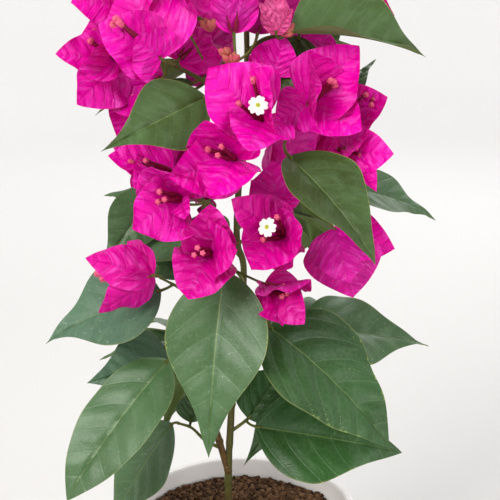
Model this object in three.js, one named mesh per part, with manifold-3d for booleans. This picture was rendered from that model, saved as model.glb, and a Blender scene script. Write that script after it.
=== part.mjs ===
// A bougainvillea bush in a round white pot, in millimetres, +Z up.
// The origin is the centre of the pot's flat underside, +X is the bush's right and -Y its front.
import * as THREE from 'three';
import { mergeVertices } from 'three/addons/utils/BufferGeometryUtils.js';
import Module from 'manifold-3d';

const wasm = await Module();
wasm.setup();

// The pot: a tapering round wall with a rounded lip, filled with potting mix.
const potHeight = 125;
const potFootRadius = 52;
const potRimRadius = 72.5;
const potWall = 4.8;
const potFloor = 7;
const potFacets = 32;
const soilTop = 112;

const seatGap = 0.3;
const mergeStep = 0.2;

// The woody parts.
const limbSides = 8;
const stemSides = 5;
const twigSides = 3;
const twigRadius = 0.95;
const petioleRadius = 0.9;
const stalkRadius = 0.8;

// The blades. An outline's two powers set how a blade swells and how it draws out to its tip.
const leafOutline = [0.75, 1.5];
const bractOutline = [0.52, 0.95];
const leafThick = 0.0125;
const bractThick = 0.6;
const bractShare = 0.92;
const bractCup = 0.3;
const bractShoulder = 0.86;
const bractDip = 0.6;
const leafCup = -0.05;
const leafFold = 0.18;
const tubeShare = 0.55;
const tubeRadius = 2.1;
const flowerRadius = 4.6;

const degree = Math.PI / 180;
const up = new THREE.Vector3(0, 0, 1);

function vec(at) {
  return new THREE.Vector3(at[0], at[1], at[2]);
}

// A repeatable number from 0 to 1 for a set of keys.
function chance(...keys) {
  const weights = [12.9898, 78.233, 37.719, 93.989];
  const sum = keys.reduce((total, key, i) => total + key * weights[i], 0);
  const value = Math.sin(sum) * 43758.5453;
  return value - Math.floor(value);
}

// The way a blade heads: turn is counted round +Z from +X, rise is up from level.
function heading(turn, rise) {
  const t = turn * degree;
  const r = rise * degree;
  return new THREE.Vector3(Math.cos(r) * Math.cos(t), Math.cos(r) * Math.sin(t), Math.sin(r));
}

// A blade's own axes: along it, across it and off its upper face.
function bladeAxes(turn, rise, roll) {
  const along = heading(turn, rise);
  const off = heading(turn, rise + 90);
  const across = along.clone().cross(off);
  const q = roll * degree;
  return {
    along,
    across: across.clone().multiplyScalar(Math.cos(q)).addScaledVector(off, Math.sin(q)),
    off: off.clone().multiplyScalar(Math.cos(q)).addScaledVector(across, -Math.sin(q)),
  };
}

// The three bracts of a bloom stand round its axis, opened by an angle.
function bractAxes(turn, rise, spin, open, k) {
  const axis = heading(turn, rise);
  const { across, off } = bladeAxes(turn, rise, 0);
  const q = (spin + 120 * k) * degree;
  const o = open * degree;
  const out = off.clone().multiplyScalar(Math.cos(q)).addScaledVector(across, Math.sin(q));
  const along = axis.clone().multiplyScalar(Math.cos(o)).addScaledVector(out, Math.sin(o));
  const inner = axis.clone().multiplyScalar(Math.sin(o)).addScaledVector(out, -Math.cos(o));
  return { along, across: along.clone().cross(inner), off: inner, out };
}

function outlineShare(t, [swell, draw]) {
  const top = swell / (swell + draw);
  return (t / top) ** swell * ((1 - t) / (1 - top)) ** draw;
}

// A point of a blade: t runs from its root to its tip, u from edge to edge.
function bladePoint(blade, t, u, lift) {
  const { root, axes, length, width, bend, cup, fold, outline } = blade;
  const b = bend * degree;
  const reach = Math.abs(b) < 1e-6 ? t : Math.sin(b * t) / b;
  const drop = Math.abs(b) < 1e-6 ? 0 : (1 - Math.cos(b * t)) / b;
  const half = (width / 2) * outlineShare(THREE.MathUtils.clamp(t, 0.04, 0.985), outline);
  const height = half * (fold * Math.abs(u) + cup * u * u) + lift;
  const off = axes.off.clone().multiplyScalar(Math.cos(b * t)).addScaledVector(axes.along, Math.sin(b * t));
  return root.clone()
    .addScaledVector(axes.along, length * reach)
    .addScaledVector(axes.off, -length * drop)
    .addScaledVector(axes.across, u * half)
    .addScaledVector(off, height);
}

// Turns a three.js geometry into a closed solid.
function solidOf(geometry) {
  geometry.deleteAttribute('normal');
  geometry.deleteAttribute('uv');
  const merged = mergeVertices(geometry, 1e-4);
  return new wasm.Manifold(new wasm.Mesh({
    numProp: 3,
    vertProperties: new Float32Array(merged.attributes.position.array),
    triVerts: new Uint32Array(merged.index.array),
  }));
}

function meshOf(name, solid, colour, roughness) {
  const made = solid.getMesh();
  const geometry = new THREE.BufferGeometry();
  geometry.setAttribute('position', new THREE.BufferAttribute(new Float32Array(made.vertProperties), 3));
  geometry.setIndex(new THREE.BufferAttribute(new Uint32Array(made.triVerts), 1));
  geometry.computeVertexNormals();
  const material = new THREE.MeshStandardMaterial({ name, color: colour, roughness, metalness: 0 });
  const mesh = new THREE.Mesh(geometry, material);
  mesh.name = name;
  return mesh;
}

// Moves each vertex of a geometry by a rule.
function shaped(geometry, rule) {
  const position = geometry.attributes.position;
  for (let i = 0; i < position.count; i += 1) {
    const p = rule(position.getX(i), position.getY(i), position.getZ(i));
    position.setXYZ(i, p.x, p.y, p.z);
  }
  return geometry;
}

// A thin closed blade, from a flat box bent to the blade's surface.
function bladeSolid(blade, columns, rows, thick) {
  const box = new THREE.BoxGeometry(2, 1, 1, columns, rows, 1);
  return solidOf(shaped(box, (x, y, z) => bladePoint(blade, y + 0.5, x, z * thick)));
}

// A bloom's three bracts as one thin cup with three pointed lobes, from a round disc drawn up along them.
function cupSolid(bloomed, fine) {
  const { root, turn, rise, spin, length, open, bend } = bloomed;
  const axis = heading(turn, rise);
  const { across, off } = bladeAxes(turn, rise, 0);
  const rings = fine ? [0, 0.55, 1] : [0, 1];
  const profile = [...rings.map((t) => [t, -1]), ...rings.toReversed().map((t) => [t, 1])];
  const disc = new THREE.LatheGeometry(profile.map(([t, side]) => new THREE.Vector2(t, side)), 12);
  return solidOf(shaped(disc, (x, y, z) => {
    const t = Math.hypot(x, z);
    if (t < 0.01) return root.clone().addScaledVector(axis, y < 0 ? -1.4 : 0.8);
    const q = Math.atan2(x, z);
    const lobe = Math.abs((((q / degree + 540) % 120) - 60) / 60);
    const reach = t * (lobe < 0.75 ? (lobe < 0.25 ? 1 : bractShoulder) : bractDip);
    const start = open * degree;
    const lean = start + bend * degree * reach;
    const round = q + spin * degree;
    const out = off.clone().multiplyScalar(Math.cos(round)).addScaledVector(across, Math.sin(round));
    const wide = 0.6 + (length * (Math.cos(start) - Math.cos(lean))) / (bend * degree);
    const high = (length * (Math.sin(lean) - Math.sin(start))) / (bend * degree);
    return root.clone().addScaledVector(out, wide - y * 0.5 * bractThick * Math.cos(lean))
      .addScaledVector(axis, high + y * 0.5 * bractThick * Math.sin(lean));
  }));
}

// A round limb along a path, from a cylinder bent to it; its ends are flat.
function limbSolid(path, radiusAt, sides, steps) {
  const rod = new THREE.CylinderGeometry(1, 1, 1, sides, steps);
  const span = path.getPoint(1).sub(path.getPoint(0)).normalize();
  const guide = Math.abs(span.z) < 0.8 ? up : new THREE.Vector3(0, 1, 0);
  return solidOf(shaped(rod, (x, y, z) => {
    const t = y + 0.5;
    const along = path.getTangent(t);
    const side = guide.clone().cross(along).normalize();
    const other = side.clone().cross(along);
    const radius = radiusAt(t);
    return path.getPoint(t).addScaledVector(side, x * radius).addScaledVector(other, z * radius);
  }));
}

function pathOf(points) {
  return new THREE.CatmullRomCurve3(points.map(vec), false, 'catmullrom', 0.5);
}

const taper = (from, to) => (t) => from + (to - from) * t;

// One body of what was fused: no loose scrap and no sealed hollow stays.
function fuse(solids) {
  const bodies = wasm.Manifold.union(solids).simplify(mergeStep).decompose();
  return bodies.reduce((best, body) => (body.volume() > best.volume() ? body : best));
}

// The pot and its filling.
function potAndSoil() {
  const innerRim = potRimRadius - potWall;
  const innerFoot = potFootRadius - potWall + 1;
  const wallAt = (z) => innerFoot + (innerRim - innerFoot) * ((z - potFloor) / (potHeight - potFloor));
  const outline = [
    [0, 0], [potFootRadius - 2, 0], [potFootRadius, 2], [potRimRadius, potHeight - 3],
    [potRimRadius - 0.6, potHeight - 0.9], [potRimRadius - potWall / 2, potHeight],
    [innerRim + 0.6, potHeight - 0.9], [innerRim, potHeight - 3],
    [wallAt(soilTop - 6), soilTop - 6], [innerFoot, potFloor], [0, potFloor],
  ];
  const fill = [
    [0, potFloor + seatGap], [innerFoot - seatGap, potFloor + seatGap],
    [wallAt(soilTop - 6) - seatGap, soilTop - 6], [wallAt(soilTop) - seatGap, soilTop], [0, soilTop],
  ];
  const turned = (profile) => solidOf(new THREE.LatheGeometry(
    profile.map(([r, z]) => new THREE.Vector2(r, z)), potFacets,
  ).rotateX(Math.PI / 2));
  return [
    meshOf('pot', turned(outline), 0xf3eef0, 0.45),
    meshOf('potting_soil', turned(fill), 0x3f2a1c, 0.95),
  ];
}

// The limbs. Each rises from a height on the limb it springs from, and tapers to its tip.
const limbs = {
  main_stem: {
    points: [[-8.5, 0, soilTop + seatGap], [-9, 0, 140], [-8, 0, 170], [-4, 2, 230], [1, 0, 280],
      [-3, 0, 300], [-2, 0, 330], [2, 0, 360], [3, 0, 410], [2, 0, 452]],
    foot: 2.4, tip: 1.5, flare: 1.1, steps: 22, colour: 0x5d6330,
  },
  left_cane: {
    on: 'main_stem', at: 149,
    points: [[-13, -2, 165], [-17, -4, 180], [-24, -6, 200], [-28, -8, 230], [-26, -8, 262]],
    foot: 2.3, tip: 1.7, steps: 12, colour: 0x5b4423,
  },
  left_branch: {
    on: 'main_stem', at: 294, points: [[-9, -2, 304], [-16, -6, 320]],
    foot: 1.5, tip: 1.2, steps: 6, colour: 0x5d6330,
  },
  right_branch: {
    on: 'main_stem', at: 318, points: [[12, 5, 326], [32, 2, 331]],
    foot: 1.5, tip: 1.2, steps: 6, colour: 0x5d6330,
  },
  high_right_branch: {
    on: 'main_stem', at: 350, points: [[12, -6, 360], [30, -12, 370]],
    foot: 1.5, tip: 1.2, steps: 6, colour: 0x5d6330,
  },
  high_left_branch: {
    on: 'main_stem', at: 380, points: [[-10, -5, 388], [-24, -10, 397], [-38, -14, 405]],
    foot: 1.6, tip: 1.2, steps: 8, colour: 0x5d6330,
  },
  top_right_branch: {
    on: 'main_stem', at: 410, points: [[12, -4, 418], [22, -8, 421]],
    foot: 1.5, tip: 1.2, steps: 6, colour: 0x5d6330,
  },
};

function heightOn(limb, z) {
  let low = 0;
  let high = 1;
  for (let i = 0; i < 40; i += 1) {
    const middle = (low + high) / 2;
    if (limb.path.getPoint(middle).z < z) low = middle;
    else high = middle;
  }
  return (low + high) / 2;
}

for (const limb of Object.values(limbs)) {
  if (limb.on) {
    const carrier = limbs[limb.on];
    limb.points.unshift(carrier.path.getPoint(heightOn(carrier, limb.at)).toArray());
  }
  limb.path = pathOf(limb.points);
  limb.radiusAt = (t) => limb.foot + (limb.tip - limb.foot) * t + (limb.flare ?? 0) * Math.exp(-t * 40);
}

const clearOf = Object.fromEntries(Object.entries(limbs).map(([name, limb]) => [
  name, limbSolid(limb.path, (t) => limb.radiusAt(t) * 1.04 + seatGap, limbSides * 2, limb.steps * 2),
]));

const limbSolids = Object.fromEntries(Object.entries(limbs).map(([name, limb]) => {
  const whole = limbSolid(limb.path, limb.radiusAt, limbSides, limb.steps);
  return [name, limb.on ? fuse([whole.subtract(clearOf[limb.on])]) : whole];
}));

// A leaf or a bloom: where its root lies, the way it heads, its roll or spin, and its shape.
const leaf = (x, y, z, turn, rise, roll, length, share, bend) => (
  { kind: 'leaf', root: vec([x, y, z]), turn, rise, roll, length, share, bend });
const bloom = (x, y, z, turn, rise, spin, length, open, bend, flowers = 0) => (
  { kind: 'bloom', root: vec([x, y, z]), turn, rise, spin, length, open, bend, flowers });

// The masses of leaves and blossom. Each has a stem from its limb, which the twigs fork from.
const masses = {
  leaves_at_foot: {
    on: 'left_cane', at: 166, stem: [[-23, 0, 170], [-32, 4, 177], [-40, 4, 180]],
    sprays: [
      leaf(-33, 10, 178, 70, 60, 0, 26, 0.85, -20),
      leaf(-44, 2, 181, 200, -50, 20, 90, 0.56, 20),
    ],
  },
  leaves_low_left: {
    on: 'left_cane', at: 222, stem: [[-35, -13, 227], [-41, -18, 231]],
    sprays: [
      leaf(-44, -25, 233, 222, -34, 24, 100, 0.5, 26),
      leaf(-44, -5, 225, 212, -1, 60, 53, 0.86, 30),
    ],
  },
  spray_mid_left: {
    on: 'left_cane', stem: [[-30, -12, 269], [-39, -18, 277], [-47, -26, 284]],
    sprays: [
      leaf(-48, -15, 273, 192, -12, 36, 78, 0.78, 32),
      leaf(-27, 12, 288, 200, -10, 30, 42, 0.8, 20),
      bloom(-50, -38, 289, -172, 0, 10, 38, 50, 25),
    ],
  },
  spray_front_low: {
    on: 'main_stem', at: 272, stem: [[0, -12, 279], [-3, -23, 287], [-8, -30, 291]],
    sprays: [
      leaf(-10, -35, 291, -103, -57, 3, 108, 0.54, 30),
      bloom(-17, -46, 304, -105, 23, -30, 40, 38, 28),
      bloom(13, -38, 284, -61, 4, 80, 35, 30, 30),
    ],
  },
  leaves_low_right: {
    on: 'main_stem', at: 176, stem: [[0, 2, 181], [10, 8, 187], [24, 14, 193]],
    sprays: [
      leaf(9, -6, 182, -11, -3, -50, 92, 0.66, 18),
      leaf(34, 18, 196, 202, -50, 50, 62, 0.35, 20),
      leaf(4, 2, 184, 30, 48, -55, 44, 0.9, 16),
    ],
  },
  leaves_right: {
    on: 'main_stem', at: 236, stem: [[4, -4, 242], [14, -6, 248], [24, 2, 245]],
    sprays: [
      leaf(16, -25, 254, -23, -29, -22, 102, 0.75, 30),
      leaf(36, 20, 236, 4, 0, -30, 88, 0.7, 22),
    ],
  },
  blossom_centre: {
    on: 'main_stem', at: 298, stem: [[3, -10, 303], [8, -20, 308], [14, -32, 312]],
    sprays: [
      bloom(24, -46, 314, -121, 21, 45, 38, 38, 26, 1),
      bloom(20, -26, 328, -92, 50, 0, 30, 14, 16),
    ],
  },
  blossom_right: {
    on: 'right_branch', stem: [[40, -4, 330], [48, -16, 324]],
    sprays: [
      bloom(53, -24, 313, -51, -28, 60, 42, 28, 20),
      leaf(66, 10, 330, 4, -9, -28, 60, 0.62, 30),
    ],
  },
  blossom_high_right: {
    on: 'high_right_branch', stem: [[38, -16, 374], [46, -18, 372], [56, -16, 364]],
    sprays: [
      leaf(26, -43, 358, -43, -27, -14, 78, 0.58, 30),
      bloom(37, -26, 384, -49, 43, -45, 40, 32, 26),
      bloom(55, -22, 358, -69, 10, -60, 36, 30, 30),
      bloom(60, -4, 376, -35, 30, 30, 38, 30, 30),
      leaf(56, 15, 380, 45, 34, 0, 44, 0.5, 0),
    ],
  },
  blossom_front_top: {
    on: 'main_stem', at: 362, stem: [[4, -12, 366], [6, -24, 371], [3, -27, 392], [-3, -26, 408]],
    sprays: [
      bloom(12, -40, 377, -130, 43, 45, 42, 37, 26, 1),
      bloom(17, -16, 400, -60, 40, 10, 26, 16, 18),
      bloom(-3, -40, 356, -130, 18, 20, 43, 32, 26),
      bloom(-4, -24, 423, -98, 74, 0, 40, 20, 16),
      bloom(9, -14, 422, 12, 84, 0, 40, 20, 16),
      leaf(-19, -30, 389, 219, -17, 56, 70, 0.6, 12),
    ],
  },
  blossom_mid_left: {
    on: 'left_branch', stem: [[-22, -14, 327], [-30, -20, 332], [-38, -16, 338]],
    sprays: [
      bloom(-33, -40, 334, -118, 11, 0, 37, 38, 26),
      bloom(-40, -12, 344, -157, 16, 50, 34, 30, 26),
      leaf(-40, 15, 320, 165, 10, 30, 50, 0.55, 20),
      leaf(-52, 12, 328, 215, -48, 60, 60, 0.55, 15),
      leaf(-30, 10, 303, 178, 0, 50, 48, 0.9, 20),
    ],
  },
  blossom_high_left: {
    on: 'high_left_branch', stem: [[-46, -18, 409], [-56, -20, 411], [-66, -14, 412]],
    sprays: [
      bloom(-43, -36, 410, -159, 39, -30, 42, 30, 30),
      bloom(-69, -20, 408, -154, 38, 10, 38, 30, 35),
      bloom(-44, -12, 398, -170, -26, 10, 38, 26, 28),
      bloom(-65, -10, 437, -173, 57, 20, 38, 25, 30),
      bloom(-44, -14, 448, -30, 10, 10, 38, 30, 30),
      bloom(-36, -6, 407, 48, 36, -20, 32, 26, 24),
    ],
  },
  spray_top_right: {
    on: 'top_right_branch', stem: [[28, -12, 424], [36, -10, 432], [50, -6, 440]],
    sprays: [
      leaf(27, -28, 424, 5, 3, -30, 82, 0.8, 30),
      bloom(64, 14, 435, -60, 22, 60, 38, 30, 25),
      bloom(19, -26, 423, -90, 70, 20, 22, 14, 15),
      leaf(33, -3, 420, 238, -49, 20, 41, 0.5, 10),
    ],
  },
  crown_top: {
    on: 'main_stem', stem: [[1, -4, 460], [-1, -6, 470], [0, 0, 482]],
    sprays: [],
    seed: 22, leaves: 4, blooms: 4, turn: -90, spread: 330, leafLength: 66,
    space: [[-64, -52, 464], [64, 58, 530]],
  },
  back_low_left: {
    on: 'main_stem', at: 205, stem: [[-12, 12, 214], [-22, 24, 222], [-30, 34, 226]],
    sprays: [],
    seed: 1, leaves: 5, blooms: 0, turn: 130, spread: 130, leafLength: 92,
    space: [[-104, 8, 126], [-2, 104, 262]],
  },
  back_low_right: {
    on: 'main_stem', at: 222, stem: [[4, 14, 230], [14, 28, 238], [22, 40, 242]],
    sprays: [],
    seed: 1, leaves: 5, blooms: 0, turn: 50, spread: 130, leafLength: 92,
    space: [[0, 12, 126], [104, 104, 262]],
  },
  back_mid_left: {
    on: 'main_stem', at: 288, stem: [[-10, 12, 298], [-20, 26, 312], [-30, 40, 326]],
    sprays: [],
    seed: 11, leaves: 4, blooms: 5, turn: 125, spread: 150, leafLength: 74,
    space: [[-92, 10, 240], [-1, 90, 366]],
  },
  back_mid_right: {
    on: 'main_stem', at: 306, stem: [[6, 14, 314], [16, 28, 324], [26, 40, 334]],
    sprays: [],
    seed: 2, leaves: 4, blooms: 5, turn: 55, spread: 150, leafLength: 74,
    space: [[1, 12, 250], [95, 90, 372]],
  },
  back_top_left: {
    on: 'main_stem', at: 372, stem: [[-8, 12, 384], [-18, 24, 400], [-28, 34, 416]],
    sprays: [],
    seed: 16, leaves: 4, blooms: 5, turn: 130, spread: 150, leafLength: 68,
    space: [[-92, 8, 366], [-1, 88, 476]],
  },
  back_top_right: {
    on: 'main_stem', at: 388, stem: [[10, 12, 400], [20, 22, 414], [28, 32, 428]],
    sprays: [],
    seed: 37, leaves: 4, blooms: 5, turn: 50, spread: 150, leafLength: 68,
    space: [[1, 8, 372], [92, 88, 476]],
  },
};

// The blades of a leaf or a bloom.
function bladesOf(spray) {
  const { kind, root, turn, rise, length, bend } = spray;
  if (kind === 'leaf') {
    return [{ root, axes: bladeAxes(turn, rise, spray.roll), length, width: length * spray.share, bend,
      cup: leafCup, fold: leafFold, outline: leafOutline }];
  }
  return [0, 1, 2].map((k) => {
    const axes = bractAxes(turn, rise, spray.spin, spray.open, k);
    return { root: root.clone().addScaledVector(axes.out, 0.6), axes, length, width: length * bractShare,
      bend, cup: bractCup, fold: 0, outline: bractOutline };
  });
}

// Points over a spray's blades, to tell how near it comes to others.
function pointsOf(spray) {
  return bladesOf(spray).flatMap((blade) => [0.2, 0.3, 0.4, 0.5, 0.6, 0.7, 0.8, 0.9, 1].flatMap((t) => (
    [-1, -0.6, -0.2, 0.2, 0.6, 1].map((u) => bladePoint(blade, t, u, 0)))));
}

const limbPoints = Object.values(limbs).flatMap((limb) => (
  Array.from({ length: limb.steps * 3 + 1 }, (_, i) => limb.path.getPoint(i / (limb.steps * 3)))));

// A seeded spray is kept where it stays in its mass's space and clear of all that has grown.
const spacing = 6.5;
const ownSpacing = 4.5;
const tries = 150;
const grownPoints = [];

function isClear(points, others, gap) {
  return !others.some((other) => points.some((p) => p.distanceToSquared(other) < gap * gap));
}

function isWithin(points, [low, high]) {
  return points.every((p) => (
    p.x > low[0] && p.x < high[0] && p.y > low[1] && p.y < high[1] && p.z > low[2] && p.z < high[2]));
}

// The seeded rule: sprays leave the stem by turns, leaves low and level, blooms high and outward.
function growMore(mass) {
  const { seed, turn, spread, leaves, blooms, leafLength } = mass;
  const path = pathOf(mass.stem);
  const own = [];
  const count = leaves + blooms;
  for (let k = 0; k < count; k += 1) {
    const isLeaf = k % Math.ceil(count / Math.max(leaves, 1)) === 0 || blooms === 0;
    for (let go = 0; go < tries; go += 1) {
      const roll = (key) => chance(seed, k, key, go);
      const way = turn + spread * (roll(1) - 0.5);
      const fork = path.getPoint(0.1 + 0.9 * roll(2));
      const climb = isLeaf ? 10 - 30 * roll(3) : 20 + 40 * roll(3);
      const root = fork.addScaledVector(heading(way, climb), isLeaf ? 8 + 14 * roll(4) : 12 + 22 * roll(4));
      const spray = isLeaf
        ? leaf(...root, way, 12 - 60 * roll(5), 50 * (roll(6) - 0.5), leafLength * (0.85 + 0.25 * roll(7)),
          0.56 + 0.08 * roll(8), 22 + 14 * roll(9))
        : bloom(...root, way, -12 + 64 * roll(5), 120 * roll(6), 36 + 6 * roll(7), 28 + 10 * roll(8), 26);
      const points = pointsOf(spray);
      if (isWithin(points, mass.space) && isClear(points, own, ownSpacing)
        && isClear(points, limbPoints, spacing) && isClear(points, grownPoints, spacing)) {
        mass.sprays.push(spray);
        own.push(...points);
        break;
      }
    }
  }
  grownPoints.push(...own);
}

for (const mass of Object.values(masses)) {
  mass.sprays.forEach((spray) => grownPoints.push(...pointsOf(spray)));
}
for (const mass of Object.values(masses)) if (mass.seed) growMore(mass);

// A twig leaves the stem at the point nearest the root and arrives the way its spray heads.
function twigSolid(path, spray, fine) {
  const { kind, root, turn, rise, bend } = spray;
  const marks = Array.from({ length: 25 }, (_, i) => path.getPoint(i / 24));
  const fork = marks.reduce((best, p) => (p.distanceTo(root) < best.distanceTo(root) ? p : best));
  const way = heading(turn, rise);
  const reach = fork.distanceTo(root);
  const sunk = kind === 'leaf' ? 5 : 1.6;
  const end = root.clone().addScaledVector(way, sunk);
  const curve = new THREE.QuadraticBezierCurve3(fork, root.clone().addScaledVector(way, -0.45 * reach), end);
  const radius = kind === 'leaf' ? petioleRadius : stalkRadius;
  return limbSolid(curve, taper(radius * 1.15, radius), twigSides, fine ? 2 : 1);
}

function spraySolids(spray, fine) {
  const blades = bladesOf(spray);
  if (spray.kind === 'leaf') {
    return blades.map((blade) => bladeSolid(blade, 2, fine ? 4 : 3, blade.length * leafThick));
  }
  if (!spray.flowers) return [cupSolid(spray, fine)];
  const axis = heading(spray.turn, spray.rise);
  const tube = new THREE.LineCurve3(
    spray.root.clone(), spray.root.clone().addScaledVector(axis, spray.length * tubeShare),
  );
  const face = new THREE.LineCurve3(tube.getPoint(0.97), tube.getPoint(1.03));
  return [cupSolid(spray, fine), limbSolid(tube, taper(tubeRadius * 0.6, tubeRadius), 3, 1),
    limbSolid(face, () => flowerRadius, 6, 1)];
}

function massSolid(mass) {
  const carrier = limbs[mass.on];
  const tip = carrier.path.getPoint(1);
  const start = mass.at
    ? carrier.path.getPoint(heightOn(carrier, mass.at))
    : tip.clone().addScaledVector(carrier.path.getTangent(1), seatGap);
  const lead = mass.at ? [] : [start.clone().addScaledVector(carrier.path.getTangent(1), 3).toArray()];
  const path = pathOf([start.toArray(), ...lead, ...mass.stem]);
  const stem = limbSolid(path, taper(twigRadius * 1.15, twigRadius * 0.8), stemSides, mass.stem.length * 2);
  const seated = mass.at ? stem.subtract(clearOf[mass.on]) : stem;
  const inner = pathOf(mass.stem);
  const fine = !mass.seed;
  const sprays = mass.sprays.flatMap((spray) => [twigSolid(inner, spray, fine), ...spraySolids(spray, fine)]);
  return fuse([seated, ...sprays]);
}

const group = new THREE.Group();
group.name = 'bougainvillea';
group.add(...potAndSoil());
for (const [name, limb] of Object.entries(limbs)) {
  group.add(meshOf(name, limbSolids[name], limb.colour, 0.75));
}
for (const [name, mass] of Object.entries(masses)) {
  const blossom = mass.sprays.some((spray) => spray.kind === 'bloom');
  group.add(meshOf(name, massSolid(mass), blossom ? 0xd0107c : 0x44663f, 0.6));
}
export default group;
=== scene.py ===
# A bougainvillea bush in its round white pot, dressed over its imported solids.
# The plant's rule counts in millimetres, as the solids do, and every mesh is made in metres.
import math

import bpy
import numpy as np
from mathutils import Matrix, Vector, kdtree


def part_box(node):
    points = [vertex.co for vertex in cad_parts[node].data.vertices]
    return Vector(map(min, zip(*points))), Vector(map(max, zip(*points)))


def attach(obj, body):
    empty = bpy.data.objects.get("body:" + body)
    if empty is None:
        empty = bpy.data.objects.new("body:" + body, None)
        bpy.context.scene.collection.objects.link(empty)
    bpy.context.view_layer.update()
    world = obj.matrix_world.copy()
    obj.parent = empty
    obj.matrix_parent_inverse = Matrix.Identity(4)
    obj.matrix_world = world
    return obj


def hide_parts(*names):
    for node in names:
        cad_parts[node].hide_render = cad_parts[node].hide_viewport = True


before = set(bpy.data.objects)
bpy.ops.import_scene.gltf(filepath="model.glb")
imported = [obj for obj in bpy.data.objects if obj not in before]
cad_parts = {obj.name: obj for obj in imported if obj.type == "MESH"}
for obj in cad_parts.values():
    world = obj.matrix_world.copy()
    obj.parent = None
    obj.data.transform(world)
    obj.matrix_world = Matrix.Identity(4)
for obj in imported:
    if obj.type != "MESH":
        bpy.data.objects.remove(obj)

bpy.ops.object.select_all(action="DESELECT")
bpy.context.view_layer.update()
mm = 0.001
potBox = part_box("pot")
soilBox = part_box("potting_soil")
print("frame loaded:", len(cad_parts), "nodes")


def linear(code):
    # an sRGB hex colour as the linear values that a shader takes
    parts = [int(code[i:i + 2], 16) / 255 for i in (1, 3, 5)]
    return [p / 12.92 if p <= 0.04045 else ((p + 0.055) / 1.055) ** 2.4 for p in parts] + [1.0]


def addNode(tree, kind, attributes=None, values=None, links=None):
    node = tree.nodes.new("ShaderNode" + kind)
    for name, value in (attributes or {}).items():
        setattr(node, name, value)
    for key, value in (values or {}).items():
        node.inputs[key].default_value = value
    for key, socket in (links or {}).items():
        tree.links.new(socket, node.inputs[key])
    return node


def newMaterial(name):
    material = bpy.data.materials.new(name)
    material.use_nodes = True
    material.node_tree.nodes.clear()
    return material, material.node_tree


def addOutput(tree, shader):
    addNode(tree, "OutputMaterial", links={"Surface": shader})


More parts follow.
